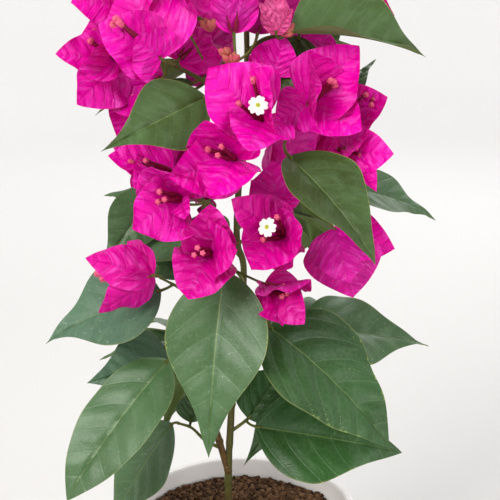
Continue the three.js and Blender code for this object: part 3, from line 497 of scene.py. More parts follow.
masses = {
    "leaves_at_foot": {"on": "left_cane", "at": 166, "stem": [(-23, 0, 170), (-32, 4, 177), (-40, 4, 180)],
        "sprays": [
            leaf(-33, 10, 178, 70, 60, 0, 26, 0.85, -20),
            leaf(-44, 2, 181, 200, -50, 20, 90, 0.56, 20),
        ]},
    "leaves_low_left": {"on": "left_cane", "at": 222, "stem": [(-35, -13, 227), (-41, -18, 231)],
        "sprays": [
            leaf(-44, -25, 233, 222, -34, 24, 100, 0.5, 26, outline=(0.62, 0.92), width=46, acumen=0.0),
            # painted light: this leaf sits in shade behind the lower-left leaf, so it takes the lighter dusty
            # tone
            leaf(-44, -5, 225, 212, -1, 60, 53, 0.86, 30, tone="dusty", outline=(0.6, 1.2)),
        ]},
    "spray_mid_left": {"on": "left_cane", "stem": [(-30, -12, 269), (-39, -18, 277), (-47, -26, 284)],
        "sprays": [
            leaf(-48, -15, 273, 192, -12, 36, 78, 0.78, 32, tone="dusty"),
            leaf(-27, 12, 288, 200, -10, 30, 42, 0.8, 20),
            bloom(-50, -38, 289, -172, 0, 10, 38, 50, 25, tone="deep",
                tubes=[(-34, 3, 0), (-32, 2, 4), (-31, 3, -3)],
                bracts=[
                bract((-37, -6, 13), (0.1, -0.8, 0.5), bend=16, wide=0.66, cup=-0.1),
                bract((-31, -4, -21), (0.35, -0.8, -0.5), bend=16, wide=0.72, cup=-0.1),
                bract((-16, 22, 14), (-0.4, -0.9, 0.1), bend=20, wide=0.8)]),
        ]},
    "spray_front_low": {"on": "main_stem", "at": 272, "stem": [(0, -12, 279), (-3, -23, 287), (-8, -30, 291)],
        "sprays": [
            leaf(-10, -35, 291, -103, -57, 3, 108, 0.54, 30, outline=(0.72, 1.2)),
            bloom(-17, -46, 304, -105, 23, -30, 40, 38, 28, tubes=[(-7, -18, 8), (-9, -15, 3), (-4, -18, 5)],
                bracts=[
                bract((0, -16, 32), (0, -1, 0.2), wide=0.85),
                bract((-12, -31, -18), (0.1, -0.75, 0.65), wide=0.95),
                bract((16, -28, 11), (-0.85, -0.5, 0.1), wide=1.1)]),
            bloom(13, -38, 284, -61, 4, 80, 35, 30, 30, tubes=[(11, -16, 3), (10, -16, -3), (13, -14, -2)],
                bracts=[
                bract((25, -21, 9), (0, -0.35, -0.95), bend=16, wide=0.9),
                bract((23, -24, -15), (-0.2, -0.9, 0.3), wide=0.8),
                bract((8, -24, -18), (0.7, -0.7, 0.2), wide=0.8)]),
        ]},
    "leaves_low_right": {"on": "main_stem", "at": 176, "stem": [(0, 2, 181), (10, 8, 187), (24, 14, 193)],
        "sprays": [
            leaf(9, -6, 182, -11, -3, -50, 92, 0.66, 18, tone="glossy", outline=(0.66, 0.95)),
            leaf(34, 18, 196, 202, -50, 50, 62, 0.35, 20),
            leaf(4, 2, 184, 30, 48, -55, 44, 0.9, 16, tone="glossy", outline=(0.6, 1.0)),
        ]},
    "leaves_right": {"on": "main_stem", "at": 236, "stem": [(4, -4, 242), (14, -6, 248), (24, 2, 245)],
        "sprays": [
            leaf(16, -25, 254, -23, -29, -22, 102, 0.75, 30, tone="glossy", quilt=1.9,
                 outline=(0.62, 1.1), acumen=0.2),
            leaf(36, 20, 236, 4, 0, -30, 88, 0.7, 22),
        ]},
    "blossom_centre": {"on": "main_stem", "at": 298, "stem": [(3, -10, 303), (8, -20, 308), (14, -32, 312)],
        "sprays": [
            bloom(24, -46, 314, -121, 21, 45, 38, 38, 26, 1,
                tubes=[(-10, -17, 9), (-13, -13, 1), (-5, -16, 15)],
                bracts=[
                bract((-30, -14, 23), (0.3, -0.9, 0.2), wide=0.78),
                bract((-19, -28, -12), (0.1, -0.6, 0.8), wide=1.0),
                bract((9, -26, 2), (-0.75, -0.65, 0.1), bend=20, wide=1.3)]),
            bloom(20, -26, 328, -92, 50, 0, 30, 14, 16, tubes=[], bracts=[
                bract((-4, -6, 26), (0, -1, 0.35), bend=10, wide=1.2),
                bract((13, -2, 15), (-0.3, -0.9, 0.3), bend=16),
                bract((-15, 1, 13), (0.3, -0.9, 0.3), bend=16)]),
        ]},
    "blossom_right": {"on": "right_branch", "stem": [(40, -4, 330), (48, -16, 324)],
        "sprays": [
            bloom(53, -24, 313, -51, -28, 60, 42, 28, 20, tubes=[], bracts=[
                bract((12, -14, -37), (0, 0.9, 0.3), bend=-16, wide=1.12),
                bract((33, -14, -10), (0, -0.9, 0.3), bend=10, wide=0.8),
                bract((6, -26, -25), (0, 0.7, -0.7), bend=-20, wide=0.95)]),
            leaf(66, 10, 330, 4, -9, -28, 60, 0.62, 30),
        ]},
    "blossom_high_right": {"on": "high_right_branch",
        "stem": [(38, -16, 374), (46, -18, 372), (56, -16, 364)],
        "sprays": [
            leaf(26, -43, 358, -43, -27, -14, 78, 0.58, 30, outline=(0.7, 1.3), fold=0.36, acumen=0.12,
                 tone="olive"),
            bloom(37, -26, 384, -49, 43, -45, 40, 32, 26, tubes=[(14, -14, 15), (15, -12, 13), (12, -15, 16)],
                bracts=[
                bract((28, -9, 32), (-0.3, -0.9, 0.2), bend=16, wide=0.95),
                bract((-1, -16, 32), (0.7, -0.7, 0), fold=0.8, wide=0.8),
                bract((29, -22, -11), (0.1, -0.85, 0.5), bend=20, wide=0.95),
                bract((-18, -3, -9), (0.2, -0.9, 0.3), bend=14, wide=1.35)]),
            bloom(55, -22, 358, -69, 10, -60, 36, 30, 30, tubes=[(9, -14, 4), (12, -11, -1)],
                bracts=[
                bract((16, -18, 14), (-0.3, -0.8, 0.5), wide=0.8),
                bract((28, -22, 0), (-0.4, -0.9, 0.2), wide=0.85),
                bract((18, -24, -20), (0.2, -0.8, 0.5), wide=0.5, fold=0.6)]),
            bloom(60, -4, 376, -35, 30, 30, 38, 30, 30, bracts=[
                bract((23, -10, 10), (-0.2, -0.9, 0.3), wide=1.05),
                bract((14, 17, 13), (-0.2, -0.9, 0.3), bend=20),
                bract((13, -19, -5), (-0.2, -0.9, 0.3))]),
            leaf(56, 15, 380, 45, 34, 0, 44, 0.5, 0),
        ]},
    "blossom_front_top": {"on": "main_stem", "at": 362, "stem": [(4, -12, 366), (6, -24, 371), (3, -27, 392),
                                                                 (-3, -26, 408)],
        "sprays": [
            bloom(12, -40, 377, -130, 43, 45, 42, 37, 26, 1,
                tubes=[(-3, -20, 11), (-14, -15, 12), (-6, -12, 25)],
                bracts=[
                bract((-31, -3, 28), (0.35, -0.9, 0.2), wide=1.08),
                bract((3, -19, 31), (-0.78, -0.62, 0.1), bend=24, wide=1.05, cup=0.1, wave=0.05),
                bract((-8, -36, -10), (0.18, -0.35, 0.93), wide=1.0, flare=0, sway=0, cup=0.15)]),
            bloom(17, -16, 400, -60, 40, 10, 26, 16, 18, tubes=[], bracts=[
                bract((7, -2, 21), (-0.1, -1, 0.15), bend=10, wide=1.25),
                bract((-13, 3, 10), (0.3, -0.9, 0.2), bend=14, wide=1.1),
                bract((14, 19, 6), (-0.3, -0.9, 0.3), bend=16)]),
            bloom(-3, -40, 356, -130, 18, 20, 43, 32, 26, tubes=[(-16, -14, 8), (-10, -16, 5), (-8, -16, 10)],
                bracts=[
                bract((-36, -21, -7), (0.3, -0.9, 0.3), wide=0.88),
                bract((-13, -33, -15), (0.1, -0.7, 0.7), wide=0.9, sway=0),
                bract((-16, -26, 24), (0.1, -0.2, -0.95), bend=-30, wide=1.1)]),
            bloom(-4, -24, 423, -98, 74, 0, 40, 20, 16, bracts=[
                bract((-8, -15, 32), (0.2, 0.9, 0.3), bend=-16, wide=0.55),
                bract((8, -14, 32), (-0.2, 0.9, 0.3), bend=-16, wide=0.6),
                bract((1, 6, 36), (0, -1, 0), bend=16, wide=0.7)]),
            bloom(9, -14, 422, 12, 84, 0, 40, 20, 16, bracts=[
                bract((-4, -10, 30), (0.2, 0.9, 0.3), bend=-16, wide=0.6),
                bract((11, -8, 28), (-0.3, 0.9, 0.3), bend=-16, wide=0.6),
                bract((4, 6, 36), (0, -1, 0), bend=16, wide=0.8)]),
            leaf(-19, -30, 389, 219, -17, 56, 70, 0.6, 12, tone="olive", outline=(0.85, 1.5)),
        ]},
    "blossom_mid_left": {"on": "left_branch", "stem": [(-22, -14, 327), (-30, -20, 332), (-38, -16, 338)],
        "sprays": [
            bloom(-33, -40, 334, -118, 11, 0, 37, 38, 26, tubes=[(-12, -15, 7), (-13, -14, 1), (-9, -17, 3)],
                bracts=[
                bract((-27, -24, -11), (0.4, -0.85, 0.3)),
                bract((-16, -23, 22), (0.2, -0.1, -1), bend=-24, wide=1.1),
                bract((4, -23, -7), (-0.5, -0.6, 0.6), wide=0.55)]),
            bloom(-40, -12, 344, -157, 16, 50, 34, 30, 26, tubes=[(-25, -8, 7), (-20, -11, 7), (-15, -13, 9)],
                bracts=[
                bract((-36, -9, 10), (0.2, -0.8, 0.5), wide=0.8),
                bract((-19, -25, -7), (0.2, -0.5, 0.8)),
                bract((15, -20, -6), (-0.3, -0.5, 0.8))]),
            leaf(-40, 15, 320, 165, 10, 30, 50, 0.55, 20),
            leaf(-52, 12, 328, 215, -48, 60, 60, 0.55, 15),
            leaf(-30, 10, 303, 178, 0, 50, 48, 0.9, 20),
        ]},
    "blossom_high_left": {"on": "high_left_branch",
        "stem": [(-46, -18, 409), (-56, -20, 411), (-66, -14, 412)],
        "sprays": [
            bloom(-43, -36, 410, -159, 39, -30, 42, 30, 30,
                tubes=[(-24, -12, 23), (-22, -14, 21), (-26, -10, 20)],
                bracts=[
                bract((-19, 13, 40), (0.1, -1, 0.3), bend=10, wide=1.1),
                bract((-32, -12, 19), (0.2, -0.9, 0.2), bend=20, wide=0.95),
                bract((-13, -16, 13), (0.1, -1, 0.2), bend=18, wide=1.3)]),
            bloom(-69, -20, 408, -154, 38, 10, 38, 30, 35, bracts=[
                bract((-31, -18, 4), (0.3, -0.9, 0.4), wide=0.8),
                bract((-21, -20, -22), (0.4, -0.9, -0.2)),
                bract((-11, 0, 26), (0.1, -1, 0), wide=1.15)]),
            bloom(-44, -12, 398, -170, -26, 10, 38, 26, 28, bracts=[
                bract((-38, -7, -10), (0.1, -0.9, 0.3), wide=1.15),
                bract((-28, 0, -33), (0.3, -0.9, 0)),
                bract((-15, 11, -31), (0, -1, 0.2), bend=30)]),
            bloom(-65, -10, 437, -173, 57, 20, 38, 25, 30, bracts=[
                bract((-27, -19, 4), (0.3, -0.9, 0.3), wide=1.1),
                bract((-12, 17, 29), (0.1, -1, 0)),
                bract((20, -19, 19), (-0.2, -0.9, 0.2))]),
            bloom(-44, -14, 448, -30, 10, 10, 38, 30, 30),
            bloom(-36, -6, 407, 48, 36, -20, 32, 26, 24, bracts=[
                bract((25, 13, 1), (-0.2, -0.9, 0.3), bend=14, wide=0.8),
                bract((18, 17, 18), (-0.3, -0.8, -0.2), bend=14, wide=0.7),
                bract((0, 21, 16), (0, -1, 0), bend=14)]),
        ]},
    "spray_top_right": {"on": "top_right_branch", "stem": [(28, -12, 424), (36, -10, 432), (50, -6, 440)],
        "sprays": [
            leaf(27, -28, 424, 5, 3, -30, 82, 0.8, 30, width=50, fold=0.94, twist=-18, tone="olive"),
            bloom(64, 14, 435, -60, 22, 60, 38, 30, 25, bracts=[
                bract((23, -16, -4), (0, -1, 0.2)),
                bract((13, 18, 21), (0, -1, 0)),
                bract((-6, -23, 18), (0.2, -0.8, -0.4))]),
            bloom(19, -26, 423, -90, 70, 20, 22, 14, 15, tone="young", tubes=[], bracts=[
                bract((0, 3, 25), (0, -1, 0.1), bend=8, wide=0.66),
                bract((9, -3, 14), (-0.4, -0.9, 0.1), bend=10, wide=0.6),
                bract((-9, -2, 17), (0.4, -0.9, 0.2), bend=10, wide=0.55)]),
            leaf(33, -3, 420, 238, -49, 20, 41, 0.5, 10, tone="olive", width=32, acumen=0.0),
        ]},
    "crown_top": {"on": "main_stem", "stem": [(1, -4, 460), (-1, -6, 470), (0, 0, 482)],
        "sprays": [],
        "seed": 22, "leaves": 4, "blooms": 4, "turn": -90, "spread": 330, "leafLength": 66,
        "space": [(-64, -52, 464), (64, 58, 530)]},
    "back_low_left": {"on": "main_stem", "at": 205, "stem": [(-12, 12, 214), (-22, 24, 222), (-30, 34, 226)],
        "sprays": [], "seed": 1, "leaves": 5, "blooms": 0, "turn": 130, "spread": 130, "leafLength": 92,
        "space": [(-104, 8, 126), (-2, 104, 262)]},
    "back_low_right": {"on": "main_stem", "at": 222, "stem": [(4, 14, 230), (14, 28, 238), (22, 40, 242)],
        "sprays": [], "seed": 1, "leaves": 5, "blooms": 0, "turn": 50, "spread": 130, "leafLength": 92,
        "space": [(0, 12, 126), (104, 104, 262)]},
    "back_mid_left": {"on": "main_stem", "at": 288, "stem": [(-10, 12, 298), (-20, 26, 312), (-30, 40, 326)],
        "sprays": [], "seed": 11, "leaves": 4, "blooms": 5, "turn": 125, "spread": 150, "leafLength": 74,
        "space": [(-92, 10, 240), (-1, 90, 366)]},
    "back_mid_right": {"on": "main_stem", "at": 306, "stem": [(6, 14, 314), (16, 28, 324), (26, 40, 334)],
        "sprays": [], "seed": 2, "leaves": 4, "blooms": 5, "turn": 55, "spread": 150, "leafLength": 74,
        "space": [(1, 12, 250), (95, 90, 372)]},
    "back_top_left": {"on": "main_stem", "at": 372, "stem": [(-8, 12, 384), (-18, 24, 400), (-28, 34, 416)],
        "sprays": [], "seed": 16, "leaves": 4, "blooms": 5, "turn": 130, "spread": 150, "leafLength": 68,
        "space": [(-92, 8, 366), (-1, 88, 476)]},
    "back_top_right": {"on": "main_stem", "at": 388, "stem": [(10, 12, 400), (20, 22, 414), (28, 32, 428)],
        "sprays": [], "seed": 37, "leaves": 4, "blooms": 5, "turn": 50, "spread": 150, "leafLength": 68,
        "space": [(1, 8, 372), (92, 88, 476)]},
}

# Each pair is a value and what chance adds to it. Angles are in degrees and distances in mm, and a
# leaf's length is a share of its mass's leafLength.
growth = {"spacing": 6.5, "ownSpacing": 4.5, "along": (0.1, 0.9)}
leafRule = {"climb": (10, -30), "off": (8, 14), "rise": (12, -60), "roll": 50, "length": (0.85, 0.25),
            "share": (0.56, 0.08), "bend": (22, 14)}
bloomRule = {"climb": (20, 40), "off": (12, 22), "rise": (-12, 64), "spin": 120, "length": (36, 6),
             "opening": (28, 10), "bend": 26}
passes = [
    {"size": 1.0, "spread": 1.0, "from": 0, "tries": 150},
    {"size": 0.62, "spread": 1.5, "from": 40, "tries": 400},  # finer, in the gaps of the first
]


def within(span, share):
    return span[0] + span[1] * share


def treeOf(points):
    tree = kdtree.KDTree(max(len(points), 1))
    for i, p in enumerate(points):
        tree.insert(p, i)
    tree.balance()
    return tree


def isClear(points, tree, gap):
    return all(tree.find(p)[2] >= gap for p in points)


# Seeded sprays leave a mass's stem by turns, and stay where they keep to its space and clear of the rest.
def growMore(mass, taken, growing):
    size = growing["size"]
    stem = [np.array(p, float) for p in mass["stem"]]
    low, high = (np.array(corner, float) for corner in mass["space"])
    count = mass["leaves"] + mass["blooms"]
    every = math.ceil(count / max(mass["leaves"], 1))
    own = np.empty((0, 3))
    for k in range(growing["from"], growing["from"] + count):
        isLeaf = k % every == 0 or mass["blooms"] == 0
        rule = leafRule if isLeaf else bloomRule
        for go in range(growing["tries"]):
            r = [0] + [chance(mass["seed"], k, key, go) for key in range(1, 10)]
            way = mass["turn"] + growing["spread"] * mass["spread"] * (r[1] - 0.5)
            out = heading(way, within(rule["climb"], r[3])) * within(rule["off"], r[4])
            root = curvePoint(stem, within(growth["along"], r[2])) + out
            rise = within(rule["rise"], r[5])
            if isLeaf:
                length = size * mass["leafLength"] * within(rule["length"], r[7])
                spray = leaf(*root, way, rise, rule["roll"] * (r[6] - 0.5), length,
                             within(rule["share"], r[8]), within(rule["bend"], r[9]))
            else:
                spray = bloom(*root, way, rise, rule["spin"] * r[6], size * within(rule["length"], r[7]),
                              within(rule["opening"], r[8]), rule["bend"])
            points = pointsOf(spray)
            if (points <= low).any() or (points >= high).any():
                continue
            if len(own) and not isClear(points, treeOf(own), growth["ownSpacing"] * size):
                continue
            if isClear(points, taken, growth["spacing"] * size):
                mass["sprays"].append({**spray, "seeded": True})
                own = np.concatenate([own, points])
                break
    return own


limbPoints = [curvePoint(limb["line"], i / (limb["steps"] * 3))
              for limb in limbs.values() for i in range(limb["steps"] * 3 + 1)]
grown = [p for mass in masses.values() for spray in mass["sprays"] for p in pointsOf(spray)]
# The first pass grows the sprays that the solids have, and the second goes on to finer ones.
for growing in passes:
    for mass in masses.values():
        if "seed" in mass:
            grown.extend(growMore(mass, treeOf(limbPoints + grown), growing))
print("sprays grown:", {name: len(mass["sprays"]) for name, mass in masses.items()})


# A bag gathers the grids of one joined mesh.
def newBag():
    return {"points": [], "faces": [], "blade": [], "edge": [], "slots": [], "cells": [], "count": 0}


# Adds a grid of points as quads. place is its map, one pair for each point, and edge 1 at its rim.
def addGrid(bag, points, place, edge, slot, flip=False, closed=False):
    rows, columns = points.shape[:2]
    index = bag["count"] + np.arange(rows * columns).reshape(rows, columns)
    if closed:  # the last column joins the first
        index = np.concatenate([index, index[:, :1]], 1)
        place = np.concatenate([place, place[:, :1] + [[[1.0, 0.0]]]], 1)
    corners = (index[:-1, :-1], index[:-1, 1:], index[1:, 1:], index[1:, :-1])
    maps = (place[:-1, :-1], place[:-1, 1:], place[1:, 1:], place[1:, :-1])
    if flip:
        corners, maps = corners[::-1], maps[::-1]
    faces = np.stack([c.ravel() for c in corners], 1)
    bag["points"].append(points.reshape(-1, 3))
    bag["faces"].append(faces)
    bag["blade"].append(np.stack([m.reshape(-1, 2) for m in maps], 1).reshape(-1, 2))
    bag["edge"].append(np.broadcast_to(edge, (rows, columns)).ravel())
    bag["slots"].append(np.full(len(faces), slot))
    bag["cells"].append(np.full(len(faces) * 4, len(bag["cells"])))
    bag["count"] += rows * columns


# The bake's map: each grid has a square cell of its own.
def cellsMap(bag):
    cells = np.concatenate(bag["cells"])
    place = np.concatenate(bag["blade"])
    wide = math.ceil(math.sqrt(len(bag["cells"])))
    laid = np.empty_like(place)
    for i in range(len(bag["cells"])):
        mine = cells == i
        low, high = place[mine].min(0), place[mine].max(0)
        share = (place[mine] - low) / np.maximum(high - low, 1e-9)
        laid[mine] = (np.array([i % wide, i // wide]) + 0.06 + 0.88 * share) / wide
    return laid


def linkPiece(name, mesh):
    # a new object of this mesh, alone in the selection
    piece = bpy.data.objects.new(name, mesh)
    bpy.context.scene.collection.objects.link(piece)
    bpy.ops.object.select_all(action="DESELECT")
    piece.select_set(True)
    bpy.context.view_layer.objects.active = piece
    return piece


def pieceOf(name, bag, materials, replaced, smooth=50):
    mesh = bpy.data.meshes.new(name)
    points, faces = np.concatenate(bag["points"]) * mm, np.concatenate(bag["faces"])
    mesh.vertices.add(len(points))
    mesh.vertices.foreach_set("co", points.ravel())
    mesh.loops.add(faces.size)
    mesh.loops.foreach_set("vertex_index", faces.ravel())
    mesh.polygons.add(len(faces))
    mesh.polygons.foreach_set("loop_start", np.arange(0, faces.size, 4))
    mesh.polygons.foreach_set("material_index", np.concatenate(bag["slots"]))
    mesh.uv_layers.new(name="blade").data.foreach_set("uv", np.concatenate(bag["blade"]).ravel())
    mesh.uv_layers.new(name="OFBake").data.foreach_set("uv", cellsMap(bag).ravel())
    edge = mesh.attributes.new("edge", "FLOAT", "POINT")
    edge.data.foreach_set("value", np.concatenate(bag["edge"]))
    mesh.update(calc_edges=True)
    for material in materials:
        mesh.materials.append(material)
    piece = linkPiece(name, mesh)
    bpy.ops.object.mode_set(mode="EDIT")
    bpy.ops.mesh.select_all(action="SELECT")
    bpy.ops.mesh.remove_doubles(threshold=0.00001)
    bpy.ops.object.mode_set(mode="OBJECT")
    bpy.ops.object.shade_smooth_by_angle(angle=math.radians(smooth))
    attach(piece, "root")
    if replaced:
        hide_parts(*replaced)
    faceCount = sum(len(p.vertices) - 2 for p in piece.data.polygons)
    print(f"{name}: {faceCount} triangles")
    return piece


# The finer form that the scene gives a blade: how it curls at its tip, sways, waves and quilts.
leafFinish = {
    "curl": 10.0, "sway": 0.0, "twist": 0.0, "wave": 0.07, "quilt": 0.8, "groove": 0.6, "veins": 6.0,
    "slope": 0.5, "arch": 1.6, "thick": 0.35, "rib": 0.8, "lean": 0.03, "flare": 0.0, "pucker": 0.2,
    "acumen": 0.45,
}
bractFinish = {
    "curl": -12.0, "sway": 0.0, "twist": 0.0, "wave": 0.14, "quilt": 0.7, "groove": 0.3, "veins": 5.0,
    "slope": 0.6, "arch": 0.9, "thick": 0.22, "rib": 0.3, "lean": 0.04, "flare": 0.0, "pucker": 0.8,
    "outline": (0.5, 0.92), "acumen": 0.0,
}
tailFrom = 0.72  # the share of a blade where its tip begins to curl
# crowding draws the rows towards the root, and the widths are shares of half a blade
sheet = {"crowding": 1.25, "ends": (0.002, 0.9985), "drawnFrom": 0.4, "drawnOver": 0.45, "swing": 9,
         "ripple": 21, "rippleShare": 0.35, "grooveWidth": 0.07, "ribWidth": 0.06, "closing": 12}


def unitRows(v):
    return v / np.linalg.norm(v, axis=-1, keepdims=True)


def midline(blade, t):
    along, across, off = blade["axes"]

    def wayAt(share):
        tail = np.clip((share - tailFrom) / (1 - tailFrom), 0, 1)
        b = np.radians(blade["bend"] * share + blade["curl"] * tail ** 2)
        s = np.radians(blade["sway"] * share ** 2)
        way = (np.outer(np.cos(b) * np.cos(s), along) - np.outer(np.sin(b) * np.cos(s), off)
               + np.outer(np.sin(s), across))
        return way, np.outer(np.cos(b), off) + np.outer(np.sin(b), along)

    steps = wayAt((t[1:] + t[:-1]) / 2)[0] * np.diff(t)[:, None] * blade["length"]
    line = blade["root"] + np.concatenate([np.zeros((1, 3)), np.cumsum(steps, 0)])
    way, normal = wayAt(t)
    side = unitRows(np.cross(way, normal))
    normal = np.cross(side, way)
    w = np.radians(blade["twist"] * t)[:, None]
    return line, side * np.cos(w) + normal * np.sin(w), normal * np.cos(w) - side * np.sin(w)


def bladeSheet(blade, rows, columns):
    t = np.linspace(0, 1, rows + 1) ** sheet["crowding"]
    u = np.linspace(-1, 1, columns + 1)
    line, side, normal = midline(blade, t)
    seed = blade["seed"]
    phase = [2 * math.pi * chance(seed, key, 3) for key in range(6)]
    t2, u2 = t[:, None], u[None, :]
    far = np.abs(u2)
    half = blade["width"] / 2 * outlineShare(np.clip(t2, *sheet["ends"]), blade["outline"])
    drawn = np.clip((t2 - sheet["drawnFrom"]) / sheet["drawnOver"], 0, 1)
    half = half * (1 - blade["acumen"] * drawn ** 2 * (3 - 2 * drawn))
    half = half * (1 + blade["lean"] * np.sign(u2) * far * math.cos(phase[0]))
    fromRib = u2 * half / blade["length"]
    climb = (t2 - blade["slope"] * np.abs(fromRib) - blade["arch"] * fromRib ** 2) * blade["veins"]
    inside = np.minimum(1, 7 * far) * (1 - far ** 3) * np.minimum(1, 9 * t2) * np.minimum(1, 5 * (1 - t2))
    quilt = blade["quilt"] * (0.5 - 0.5 * np.cos(2 * math.pi * climb)) * inside
    groove = -blade["groove"] * np.exp(-(u2 / sheet["grooveWidth"]) ** 2) * np.minimum(1, 4 * (1 - t2))
    onLeft = u2 < 0
    swung, rippled = sheet["swing"] * t2, sheet["ripple"] * t2
    swing = np.where(onLeft, np.sin(swung + phase[1]), np.sin(swung + phase[2]))
    ripple = np.where(onLeft, np.sin(rippled + phase[3]), np.sin(rippled + phase[4]))
    tapered = np.minimum(1, 4 * t2 * (1 - t2) + 0.15)
    wave = blade["wave"] * blade["width"] / 2 * far ** 2 * tapered * (swing + sheet["rippleShare"] * ripple)
    crumple = blade["pucker"] * np.sin(2.3 * climb * math.pi + 5 * u2 + phase[5]) * far * inside
    folded = np.sqrt(u2 ** 2 + 0.004) - 0.063
    flared = blade["flare"] * far ** 2 * np.clip(t2 * 1.6 - 0.4, 0, 1)
    height = half * (blade["fold"] * folded + blade["cup"] * u2 ** 2 + flared)
    height = height + quilt + groove + wave + crumple
    top = line[:, None] + side[:, None] * (u2 * half)[..., None] + normal[:, None] * height[..., None]
    closeEnds = np.minimum(1, sheet["closing"] * t2) * np.minimum(1, sheet["closing"] * (1 - t2))
    ribbed = blade["thick"] + blade["rib"] * np.exp(-(u2 / sheet["ribWidth"]) ** 2)
    deep = ribbed * (1 - far ** 6) * closeEnds
    below = top - normal[:, None] * deep[..., None]
    place = np.stack([0.5 + fromRib, np.broadcast_to(t2, fromRib.shape)], -1)
    return top, below, place, np.broadcast_to(far, half.shape)


def addBlade(bag, blade, rows, columns, slots):
    top, below, place, edge = bladeSheet(blade, rows, columns)
    addGrid(bag, top, place, edge, slots[0])
    addGrid(bag, below, place, edge, slots[1], flip=True)


leafTones = {"mature": 0, "glossy": 1, "dusty": 2, "olive": 3}
bractTones = {"bright": 0, "deep": 1, "young": 2}
leftMasses = ("spray_mid_left", "blossom_mid_left", "blossom_high_left", "blossom_front_top")


def seedOf(spray, k=0):
    x, y, z = spray["root"]
    return round(x * 1.3 + y * 2.1 + z * 0.7, 2) + 11 * k


def finishedLeaf(spray):
    looks = {k: v for k, v in spray["looks"].items() if k != "tone"}
    return {**leafFinish, **bladesOf(spray)[0], "seed": seedOf(spray), **looks}


# A bract told by its tip: bend turns it back from the way that it faces.
def tippedBract(spray, told):
    reach = np.linalg.norm(told["tip"])
    chord = told["tip"] / reach
    inner = told["face"] - chord * (told["face"] @ chord)
    inner = inner / np.linalg.norm(inner)
    b = math.radians(told["bend"])
    along = chord * math.cos(b / 2) + inner * math.sin(b / 2)
    off = inner * math.cos(b / 2) - chord * math.sin(b / 2)
    length = reach * b / (2 * math.sin(b / 2))
    return {**bractForm, "root": spray["root"], "axes": (along, np.cross(along, off), off), "length": length,
            "width": length * told["wide"], "bend": told["bend"]}


# A bloom's bracts differ a little, as grown ones do.
def finishedBracts(spray):
    told = spray["looks"].get("bracts")
    blades = [tippedBract(spray, each) for each in told] if told else bladesOf(spray)
    made = []
    for k, blade in enumerate(blades):
        seed = seedOf(spray, k)
        vary = [2 * chance(seed, key, 5) - 1 for key in range(6)]
        own = {"twist": 12 * vary[1], "sway": 8 * vary[2], "curl": bractFinish["curl"] + 22 * vary[3],
               "flare": 0.24 * vary[4]}
        if not told:
            own.update(bend=blade["bend"] + 8 * vary[0], length=blade["length"] * (1 + 0.05 * vary[5]))
        looks = told[k]["looks"] if told else {}
        made.append({**blade, **bractFinish, **own, "seed": seed, **looks})
    return made


pieces = ("leaves_front", "leaves_back", "bracts_left", "bracts_right", "bracts_back")
bags = {piece: newBag() for piece in pieces}
nodesOf = {piece: set() for piece in pieces}
# how many rows and columns of quads each piece's blades have
grid = {"leaves_front": (44, 24), "leaves_back": (28, 16), "bracts_left": (34, 24), "bracts_right": (34, 24),
        "bracts_back": (26, 18)}
for name, mass in masses.items():
    for spray in mass["sprays"]:
        side = "back" if "seeded" in spray else "left" if name in leftMasses else "right"
        if spray["kind"] == "leaf":
            piece = "leaves_back" if side == "back" else "leaves_front"
            slot = leafTones[spray["looks"].get("tone", "mature")]
            addBlade(bags[piece], finishedLeaf(spray), *grid[piece], (slot, 4))
        else:
            piece = "bracts_" + side
            usual = "bright" if chance(seedOf(spray), 9) < 0.6 else "deep"
            slot = bractTones[spray["looks"].get("tone", usual)]
            for blade in finishedBracts(spray):
                addBlade(bags[piece], blade, *grid[piece], (slot, 3))
        nodesOf[piece].add(name)

leafMaterials = [leafMature, leafGlossy, leafDustyAndLit, leafOlive, leafBelow]
bractMaterials = [bractBright, bractDeep, bractYoung, bractBelow]
for piece in pieces:
    isLeafy = piece.startswith("leaves")
    materials, slotName = (leafMaterials, "leaves") if isLeafy else (bractMaterials, "bracts")
    pieceOf(piece, bags[piece], materials, sorted(nodesOf[piece]))


# Flower tubes and open flowers: radii and offsets in mm, leans in degrees, the rest as shares.
tube = {"share": 0.52, "foot": 1.2, "belly": 1.6, "waist": 1.1, "head": 1.6, "lean": 8.0, "leanVary": 6,
        "vary": (0.92, 0.16), "out": 1.3, "toldOut": 1.1, "up": 1.5, "sides": 8, "tipSides": 15}
flower = {"radius": 5.6, "eye": 1.1, "petals": 5, "sectors": 60, "rings": 7, "pinch": 0.34, "notch": 0.13,
          "notchWidth": 0.2}
endRadius = 0.02  # the radius that closes a turned form's end
goldenTurn = 2.4  # radians from one bud or leaf scar to the next


def ringFrame(way):
    guide = np.array([0, 0, 1.0]) if abs(way[2]) < 0.8 else np.array([0, 1.0, 0])
    side = np.cross(guide, way)
    side /= np.linalg.norm(side)
    return side, np.cross(way, side)


def anglesRound(sides):
    return 2 * math.pi * np.arange(sides) / sides


def ringAt(centre, angle, radius, side, other):
    return centre + np.outer(np.cos(angle) * radius, side) + np.outer(np.sin(angle) * radius, other)


def roundMap(sides, rows):
    return np.stack(np.meshgrid(np.arange(sides) / sides, np.linspace(0, 1, rows)), -1)


# A turned form along an axis: each ring has a distance along it and a radius, which a rule may vary.
def addTurned(bag, foot, way, rings, sides, slot, rule=None):
    side, other = ringFrame(way)
    angle = anglesRound(sides)
    points = []
    for distance, radius in rings:
        r = radius * (rule(angle) if rule else np.ones(sides))
        points.append(ringAt(foot + way * distance, angle, r, side, other))
    addGrid(bag, np.array(points), roundMap(sides, len(rings)), 0.0, slot, closed=True)


def lobed(angle):
    return 1 + 0.24 * np.cos(5 * angle)


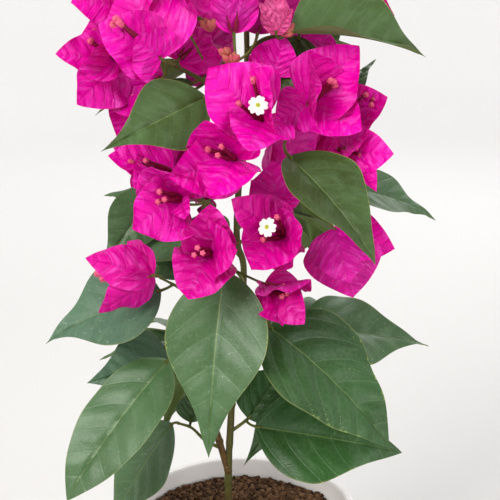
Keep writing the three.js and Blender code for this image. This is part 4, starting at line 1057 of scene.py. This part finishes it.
def addTube(bag, foot, way, length):
    shape = [(0.0, endRadius), (0.0, tube["foot"]), (0.18, tube["belly"]), (0.38, tube["belly"] * 0.95),
             (0.62, tube["waist"]), (0.8, tube["waist"] * 1.05), (0.86, tube["waist"] * 1.1)]
    addTurned(bag, foot, way, [(d * length, r) for d, r in shape], tube["sides"], 0)
    tip = [(0.86, tube["waist"] * 1.1), (0.9, tube["head"] * 0.9), (0.95, tube["head"]),
           (0.99, tube["head"] * 0.8), (1.0, tube["head"] * 0.35), (0.985, endRadius)]
    addTurned(bag, foot, way, [(d * length, r) for d, r in tip], tube["tipSides"], 1, lobed)


def addFlower(bag, foot, way, length):
    shape = [(0.0, endRadius), (0.0, tube["foot"]), (0.18 * length, tube["belly"]),
             (0.6 * length, tube["waist"]), (length, 1.3), (length, endRadius)]
    addTurned(bag, foot, way, shape, tube["sides"], 0)
    side, other = ringFrame(way)
    angle = anglesRound(flower["sectors"])
    x = (angle * flower["petals"] / (2 * math.pi) + 0.5) % 1 * 2 - 1  # from -1 to 1 over each petal
    lobe = 1 - flower["pinch"] * np.abs(x) ** 3.2 - flower["notch"] * np.exp(-(x / flower["notchWidth"]) ** 2)
    front, back = [], []
    for i in range(flower["rings"]):
        share = i / (flower["rings"] - 1)
        r = flower["eye"] + (flower["radius"] * lobe - flower["eye"]) * share
        curve = 0.5 * share - 0.9 * share ** 2 + 0.25 * np.cos(2 * math.pi * x) * share
        ring = ringAt(foot + np.outer(length + 0.4 + curve, way), angle, r, side, other)
        front.append(ring)
        back.append(ring - way * (0.35 * (1 - share)))
    place = roundMap(flower["sectors"], flower["rings"])
    addGrid(bag, np.array(front), place, 0.0, 2, closed=True)
    addGrid(bag, np.array(back), place, 0.0, 2, flip=True, closed=True)
    rim = [(length - 0.1, flower["eye"]), (length + 0.7, flower["eye"] * 1.15),
           (length + 0.85, flower["eye"] * 0.7), (length + 0.3, endRadius)]
    addTurned(bag, foot, way, rim, tube["tipSides"], 3, lobed)


# A bloom's tubes stand together in its middle, or end at offsets told from its root.
def tubesOf(spray):
    axis = heading(spray["turn"], spray["rise"])
    told = spray["looks"].get("tubes")
    made = []
    for k in range(3 if told is None else len(told)):
        _, out = bractAxes(spray["turn"], spray["rise"], spray["spin"], spray["opening"], k)
        if told is None:
            isOpen = k < spray["flowers"]
            seed = seedOf(spray, k)
            lean = 0 if isOpen else tube["lean"] + tube["leanVary"] * (chance(seed, 4) - 0.5)
            spread = math.radians(lean)
            foot = spray["root"] + out * tube["out"] + axis * tube["up"]
            way = axis * math.cos(spread) + out * math.sin(spread)
            made.append((foot, way, spray["length"] * tube["share"] * within(tube["vary"], chance(seed, 8))))
        else:
            foot = spray["root"] + out * tube["toldOut"] + axis * tube["up"]
            way = spray["root"] + np.array(told[k], float) - foot
            length = np.linalg.norm(way)
            made.append((foot, way / length, length))
    return made


tubes = newBag()
for name in sorted(masses):
    for spray in masses[name]["sprays"]:
        if spray["kind"] != "bloom":
            continue
        for k, (foot, way, length) in enumerate(tubesOf(spray)):
            (addFlower if k < spray["flowers"] else addTube)(tubes, foot, way, length)
pieceOf("flower_tubes", tubes, [tubeSkin, tubeTip, petalWhite, flowerEye], [], smooth=60)

# Clusters of unopened buds: where each stands, the way it heads, how many buds and their size.
budClusters = [
    {"foot": (-5, -29, 406), "way": (-0.1, -0.3, 0.95), "count": 7, "length": 8.0, "radius": 2.0, "fan": 44},
    {"foot": (-7, -29, 411), "way": (-0.3, -0.2, 0.9), "count": 5, "length": 6.5, "radius": 1.8, "fan": 40},
    {"foot": (-17, -21, 424), "way": (-0.2, -0.3, 0.9), "count": 6, "length": 8.0, "radius": 1.9, "fan": 36},
    {"foot": (22, -26, 422), "way": (0.8, -0.2, 0.45), "count": 4, "length": 9.0, "radius": 2.5, "fan": 20},
    {"foot": (40, -8, 442), "way": (0.3, -0.4, 0.85), "count": 4, "length": 7.0, "radius": 1.7, "fan": 24},
    {"foot": (-30, 44, 424), "way": (-0.4, 0.6, 0.7), "count": 5, "length": 7.5, "radius": 1.8, "fan": 26},
    {"foot": (28, 40, 434), "way": (0.4, 0.6, 0.7), "count": 5, "length": 7.5, "radius": 1.8, "fan": 26},
]

# The shoots that carry the buds beside the high blossom.
budTwigs = [
    {"line": [(-42, -8, 432), (-30, -13, 432), (-20, -19, 429), (-17, -21, 424)], "radius": 1.2},
    {"line": [(-38, -9, 432), (-33, -11, 427), (-27, -12, 418), (-22, -9, 408)], "radius": 0.7},
]


def ridged(angle):
    return 1 + 0.12 * np.cos(5 * angle)


budShape = [(0.0, endRadius), (0.0, 0.3), (0.2, 0.62), (0.45, 0.95), (0.62, 1.0), (0.78, 0.78), (0.92, 0.4),
            (1.0, 0.04)]
buds = newBag()
for i, cluster in enumerate(budClusters):
    foot, axis = np.array(cluster["foot"], float), np.array(cluster["way"], float)
    axis /= np.linalg.norm(axis)
    side, other = ringFrame(axis)
    for k in range(cluster["count"]):
        q = goldenTurn * k
        fan = math.radians(cluster["fan"] * math.sqrt(k / cluster["count"]))
        way = axis * math.cos(fan) + (side * math.cos(q) + other * math.sin(q)) * math.sin(fan)
        size = 0.75 + 0.4 * chance(i, k, 6)
        rings = [(d * cluster["length"] * size, r * cluster["radius"] * size) for d, r in budShape]
        addTurned(buds, foot, way, rings, tube["tipSides"], 0, ridged)
pieceOf("flower_buds", buds, [budSkin], [], smooth=60)


# lead and knotWidth are in mm along a limb, knotSwell is a share of its radius, and scarWidth is
# how far the cosine of the turn falls from the scar's middle.
bark = {"lead": 9, "knotWidth": 1.6, "knotSwell": 0.07, "scarWidth": 0.35}


# A limb's skin along a line, with knots, ridges and leaf scars.
def addLimb(bag, line, radiusAt, sides, step, relief, seed):
    marks = np.linspace(0, 1, 200)
    places = np.array([curvePoint(line, t) for t in marks])
    run = np.concatenate([[0], np.cumsum(np.linalg.norm(np.diff(places, axis=0), axis=1))])
    count = max(6, int(run[-1] / step))
    at = np.interp(np.linspace(0, run[-1], count + 1), run, marks)
    angle = anglesRound(sides)
    phase = [2 * math.pi * chance(seed, key, 2) for key in range(8)]
    side = None
    points = []
    for i, t in enumerate(at):
        way = curveWay(line, t)
        side = ringFrame(way)[0] if side is None else side - way * (side @ way)
        side = side / np.linalg.norm(side)
        other = np.cross(way, side)
        s = run[-1] * i / count
        fromKnot = (s + bark["lead"]) % relief["knotEvery"] - relief["knotEvery"] / 2
        knot = np.exp(-(fromKnot / bark["knotWidth"]) ** 2)
        turnOf = phase[6] + goldenTurn * int((s + bark["lead"]) / relief["knotEvery"])
        ridge = (np.sin(5 * angle + phase[0] + 0.7 * math.sin(s / 9)) * 0.5
                 + np.sin(8 * angle + phase[1] + s / 14) * 0.3 + np.sin(13 * angle + phase[2] + s / 6) * 0.2)
        scar = np.exp(-((np.cos(angle - turnOf) - 1) / bark["scarWidth"]) ** 2)
        r = radiusAt(t) * (1 + relief["ridge"] * ridge + knot * (bark["knotSwell"] + relief["scar"] * scar)
                           + 0.03 * math.sin(s / 5 + phase[3]) + 0.02 * math.sin(s / 2.1 + phase[4]))
        points.append(ringAt(curvePoint(line, t), angle, r, side, other))
    centre = [np.repeat(curvePoint(line, end)[None], sides, 0) for end in (0, 1)]
    points = np.array([centre[0]] + points + [centre[1]])
    addGrid(bag, points, roundMap(sides, len(points)), 0.0, 0, closed=True)


greenRelief = {"knotEvery": 26.0, "ridge": 0.05, "scar": 0.3}
brownRelief = {"knotEvery": 21.0, "ridge": 0.09, "scar": 0.35}
twigRelief = {"knotEvery": 14.0, "ridge": 0.03, "scar": 0.12}
stalkRelief = {**twigRelief, "scar": 0.0}
# each skin's sides round it and its step along it in mm
limbSkin, shootSkin, stalkSkin = (22, 0.8), (10, 1.4), (8, 1.6)


def limbRadius(limb):
    # it tapers evenly, with a short flare at its foot
    def radiusAt(t):
        taper = limb["foot"] + (limb["tip"] - limb["foot"]) * t
        return taper + limb.get("flare", 0) * math.exp(-t * 40)

    return radiusAt


green, brown = newBag(), newBag()
for i, (name, limb) in enumerate(limbs.items()):
    bag, relief = (brown, brownRelief) if name == "left_cane" else (green, greenRelief)
    addLimb(bag, limb["line"], limbRadius(limb), *limbSkin, relief, i)
greenNodes = [name for name in limbs if name != "left_cane"]
pieceOf("green_stems", green, [greenBark], greenNodes, smooth=70)
pieceOf("brown_cane", brown, [brownBark], ["left_cane"], smooth=70)

twigs = newBag()
for i, mass in enumerate(masses.values()):
    carrier = limbs[mass["on"]]
    stem = [np.array(p, float) for p in mass["stem"]]
    if "at" in mass:
        start = [curvePoint(carrier["line"], heightOn(carrier, mass["at"]))]
    else:
        tipWay = curveWay(carrier["line"], 1)
        tip = curvePoint(carrier["line"], 1)
        start = [tip - tipWay * 0.5, tip + tipWay * 3.3]
    addLimb(twigs, start + stem, lambda t: twigRadius * (1.25 - 0.45 * t), *shootSkin, twigRelief, i + 20)
    marks = [curvePoint(stem, m / 24) for m in range(25)]
    for j, spray in enumerate(mass["sprays"]):
        root = spray["root"]
        fork = min(marks, key=lambda p: np.linalg.norm(p - root))
        way = heading(spray["turn"], spray["rise"])
        reach = np.linalg.norm(fork - root)
        isLeaf = spray["kind"] == "leaf"
        end, middle = root + way * (2.5 if isLeaf else 1.6), root - way * 0.45 * reach
        line = [(1 - w) ** 2 * fork + 2 * w * (1 - w) * middle + w * w * end for w in np.linspace(0, 1, 7)]
        radius = petioleRadius if isLeaf else stalkRadius
        addLimb(twigs, line, lambda t: radius * (1.2 - 0.3 * math.sin(math.pi * min(t * 1.1, 1))),
                *stalkSkin, stalkRelief, i * 13 + j)
for j, twig in enumerate(budTwigs):
    line = [np.array(p, float) for p in twig["line"]]
    addLimb(twigs, line, lambda t: twig["radius"] * (1.15 - 0.3 * t), *shootSkin, twigRelief, j + 60)
pieceOf("twigs", twigs, [twigSkin], sorted(masses), smooth=70)


# The pot takes its rim and height from the solids, and all of it is in metres. near is how close to a
# level a vertex counts as on it.
pot = {"rim": potBox[1].x, "height": potBox[1].z, "foot": 0.052, "wall": 0.0048, "floor": 0.007,
       "around": 128, "lip": 0.0021, "heel": 0.0035, "floorEase": 0.001, "near": 0.0001}


def selectWhere(piece, test, kind="VERT"):
    # deselects all, then selects the vertices that pass the test
    bpy.ops.object.mode_set(mode="EDIT")
    bpy.ops.mesh.select_mode(type="VERT")
    bpy.ops.mesh.select_all(action="DESELECT")
    bpy.ops.object.mode_set(mode="OBJECT")
    for vertex in piece.data.vertices:
        vertex.select = test(vertex.co)
    bpy.ops.object.mode_set(mode="EDIT")
    bpy.ops.mesh.select_mode(type=kind)


def makePot():
    bpy.ops.object.select_all(action="DESELECT")
    bpy.ops.mesh.primitive_cylinder_add(vertices=pot["around"], radius=pot["foot"], depth=pot["height"],
                                        location=(0, 0, pot["height"] / 2), end_fill_type="NGON")
    piece = bpy.context.object
    piece.name = "pot_glazed"
    bpy.ops.object.transform_apply(location=True, rotation=True, scale=True)
    selectWhere(piece, lambda co: co.z > pot["height"] / 2)
    grow = pot["rim"] / pot["foot"]
    bpy.ops.transform.resize(value=(grow, grow, 1), center_override=(0, 0, pot["height"]))
    bpy.ops.mesh.select_mode(type="FACE")
    bpy.ops.mesh.inset(thickness=pot["wall"])
    deep = pot["height"] - pot["floor"]
    bpy.ops.mesh.extrude_region_move(TRANSFORM_OT_translate={"value": (0, 0, -deep)})
    shrink = (pot["foot"] - pot["wall"] + pot["floorEase"]) / (pot["rim"] - pot["wall"])
    bpy.ops.transform.resize(value=(shrink, shrink, 1), center_override=(0, 0, pot["floor"]))
    selectWhere(piece, lambda co: co.z > pot["height"] - pot["near"], "EDGE")
    bpy.ops.mesh.bevel(offset=pot["lip"], segments=6, profile=0.5, affect="EDGES")
    selectWhere(piece, lambda co: co.z < pot["near"], "EDGE")
    bpy.ops.mesh.bevel(offset=pot["heel"], segments=5, profile=0.5, affect="EDGES")
    bpy.ops.mesh.select_all(action="SELECT")
    bpy.ops.mesh.normals_make_consistent(inside=False)
    bpy.ops.object.mode_set(mode="OBJECT")
    bpy.ops.object.shade_smooth_by_angle(angle=math.radians(40))
    piece.data.materials.append(potGlaze)
    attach(piece, "root")
    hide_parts("pot")
    print("pot made")


makePot()

# Crumbs in mm, in rows of a triangular grid, inset from the wall and clear of the stem.
soil = {"step": 2.35, "size": 1.55, "mound": 1.6, "clear": 2.9, "inset": 1.4, "rowShare": 0.866,
        "jitter": 0.6}
crumbCube = np.array([(x, y, z) for z in (-1, 0, 1) for y in (-1, 0, 1) for x in (-1, 0, 1)], float)


# A rounded block of 24 quads, each face of a cube in four, pushed out to a lumpy ball.
def crumbShape():
    index = {tuple(p): i for i, p in enumerate(crumbCube)}
    faces = []
    for axis in range(3):
        others = [a for a in range(3) if a != axis]
        for level in (-1, 1):
            for a in (-1, 0):
                for b in (-1, 0):
                    corners = []
                    for da, db in ((0, 0), (1, 0), (1, 1), (0, 1)):
                        p = [0, 0, 0]
                        p[axis], p[others[0]], p[others[1]] = level, a + da, b + db
                        corners.append(index[tuple(float(c) for c in p)])
                    faces.append(corners if (level > 0) == (axis != 1) else corners[::-1])
    isCentre = np.abs(crumbCube).sum(1)[:, None] == 0  # no face uses it, and it has no length
    return unitRows(np.where(isCentre, [[1e-9, 0, 0]], crumbCube)), np.array(faces)


def addCrumbs(bag):
    ball, faces = crumbShape()
    used = np.unique(faces)
    renumber = {old: new for new, old in enumerate(used)}
    ball, faces = ball[used], np.vectorize(renumber.get)(faces)
    wall = soilBox[1].x / mm - soil["inset"]
    rows = int(wall / (soil["step"] * soil["rowShare"])) + 1
    foot = limbs["main_stem"]["line"][0]
    count = 0
    for row in range(-rows, rows + 1):
        for column in range(-rows, rows + 1):
            r = [chance(row * 1.7, column * 2.3, key) for key in range(9)]
            x = (column + 0.5 * (row % 2) + soil["jitter"] * (r[0] - 0.5)) * soil["step"]
            y = (row * soil["rowShare"] + soil["jitter"] * (r[1] - 0.5)) * soil["step"]
            if math.hypot(x, y) > wall or math.hypot(x - foot[0], y - foot[1]) < soil["clear"]:
                continue
            mound = soil["mound"] * (0.5 + 0.3 * math.sin(x / 11 + 1) + 0.3 * math.sin(y / 9 - x / 17))
            size = soil["size"] * (0.6 + 0.75 * r[2] ** 1.5)
            shape = ball * [size * (0.8 + 0.5 * r[3]), size * (0.8 + 0.5 * r[4]), size * (0.6 + 0.4 * r[5])]
            shape = shape * (1 + 0.28 * np.sin(ball @ [5.1, 3.3, 4.7] + 9 * r[6])[:, None])
            q = 2 * math.pi * r[7]
            turned = np.stack([shape[:, 0] * math.cos(q) - shape[:, 1] * math.sin(q),
                               shape[:, 0] * math.sin(q) + shape[:, 1] * math.cos(q), shape[:, 2]], 1)
            rest = soilTop + mound * 0.6 + size * (0.15 + 0.5 * r[8])
            bag["points"].append(turned + [x, y, rest])
            bag["faces"].append(faces + bag["count"])
            bag["slots"].append(np.full(len(faces), min(int(r[5] * 2.1 + r[2]), 2)))
            bag["count"] += len(ball)
            count += 1
    return count


crumbs = newBag()
crumbCount = addCrumbs(crumbs)


def makeCrumbs():
    mesh = bpy.data.meshes.new("potting_crumbs")
    mesh.from_pydata(np.concatenate(crumbs["points"]) * mm, [], np.concatenate(crumbs["faces"]).tolist())
    mesh.polygons.foreach_set("material_index", np.concatenate(crumbs["slots"]))
    for material in (crumbDark, crumbMid, crumbLight):
        mesh.materials.append(material)
    piece = linkPiece("potting_crumbs", mesh)
    bpy.ops.object.shade_smooth_by_angle(angle=math.radians(60))
    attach(piece, "root")
    print("crumbs:", crumbCount)


makeCrumbs()
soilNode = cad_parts["potting_soil"]
soilNode.data.materials.clear()
soilNode.data.materials.append(crumbDark)


# The floor sweeps up into a wall all round.
sweep = {"flat": 2.4, "cove": 1.5, "steps": 14, "wall": 2.2, "around": 96}


def makeSweep():
    bpy.ops.object.select_all(action="DESELECT")
    bpy.ops.mesh.primitive_circle_add(vertices=sweep["around"], radius=sweep["flat"], fill_type="NGON")
    floor = bpy.context.object
    floor.name = "studio_floor"
    bpy.ops.object.mode_set(mode="EDIT")
    bpy.ops.mesh.select_mode(type="EDGE")
    bpy.ops.mesh.select_all(action="SELECT")
    for step in range(sweep["steps"]):
        a, b = (math.pi / 2 * (step + k) / sweep["steps"] for k in (0, 1))
        up = sweep["cove"] * (math.cos(a) - math.cos(b))
        bpy.ops.mesh.extrude_edges_move(TRANSFORM_OT_translate={"value": (0, 0, up)})
        grow = (sweep["flat"] + sweep["cove"] * math.sin(b)) / (sweep["flat"] + sweep["cove"] * math.sin(a))
        bpy.ops.transform.resize(value=(grow, grow, 1), center_override=(0, 0, 0))
    bpy.ops.mesh.extrude_edges_move(TRANSFORM_OT_translate={"value": (0, 0, sweep["wall"])})
    bpy.ops.object.mode_set(mode="OBJECT")
    bpy.ops.object.shade_smooth()
    floor.data.materials.append(stagePaint)


makeSweep()
print("floor and wall made")

target = Vector((0, 0, 0.32))
lamps = {
    "key_softbox": {"place": (-1.1, -1.5, 1.5), "size": 1.1, "power": 46.0, "colour": "#fffdf8"},
    "fill_softbox": {"place": (1.6, -1.2, 0.9), "size": 1.4, "power": 16.0, "colour": "#ffffff"},
    "rear_softbox": {"place": (0.3, 1.3, 1.6), "size": 1.2, "power": 16.0, "colour": "#ffffff"},
}
for name, lamp in lamps.items():
    light = bpy.data.lights.new(name, "AREA")
    light.shape = "SQUARE"
    light.size = lamp["size"]
    light.energy = lamp["power"]
    light.color = linear(lamp["colour"])[:3]
    holder = bpy.data.objects.new(name, light)
    holder.location = lamp["place"]
    holder.rotation_euler = (target - holder.location).to_track_quat("-Z", "Y").to_euler()
    bpy.context.scene.collection.objects.link(holder)
print("lamps placed:", len(lamps))

world = bpy.data.worlds.new("studio_air")
world.use_nodes = True
air = world.node_tree.nodes["Background"]
air.inputs["Color"].default_value = linear("#fcfcff")
air.inputs["Strength"].default_value = 0.9
bpy.context.scene.world = world

view = {"lens": 78.0, "place": (0.0048, -0.6290, 0.4578), "tilt": 14.6}
cameraData = bpy.data.cameras.new("camera")
cameraData.lens = view["lens"]
cameraData.sensor_width = 36.0
cameraData.clip_start = 0.05
cameraData.clip_end = 50.0
camera = bpy.data.objects.new("camera", cameraData)
camera.location = view["place"]
camera.rotation_euler = (math.radians(90 - view["tilt"]), 0, 0)
bpy.context.scene.collection.objects.link(camera)
bpy.context.scene.camera = camera
bpy.context.scene.view_settings.view_transform = "Standard"
print("camera placed")
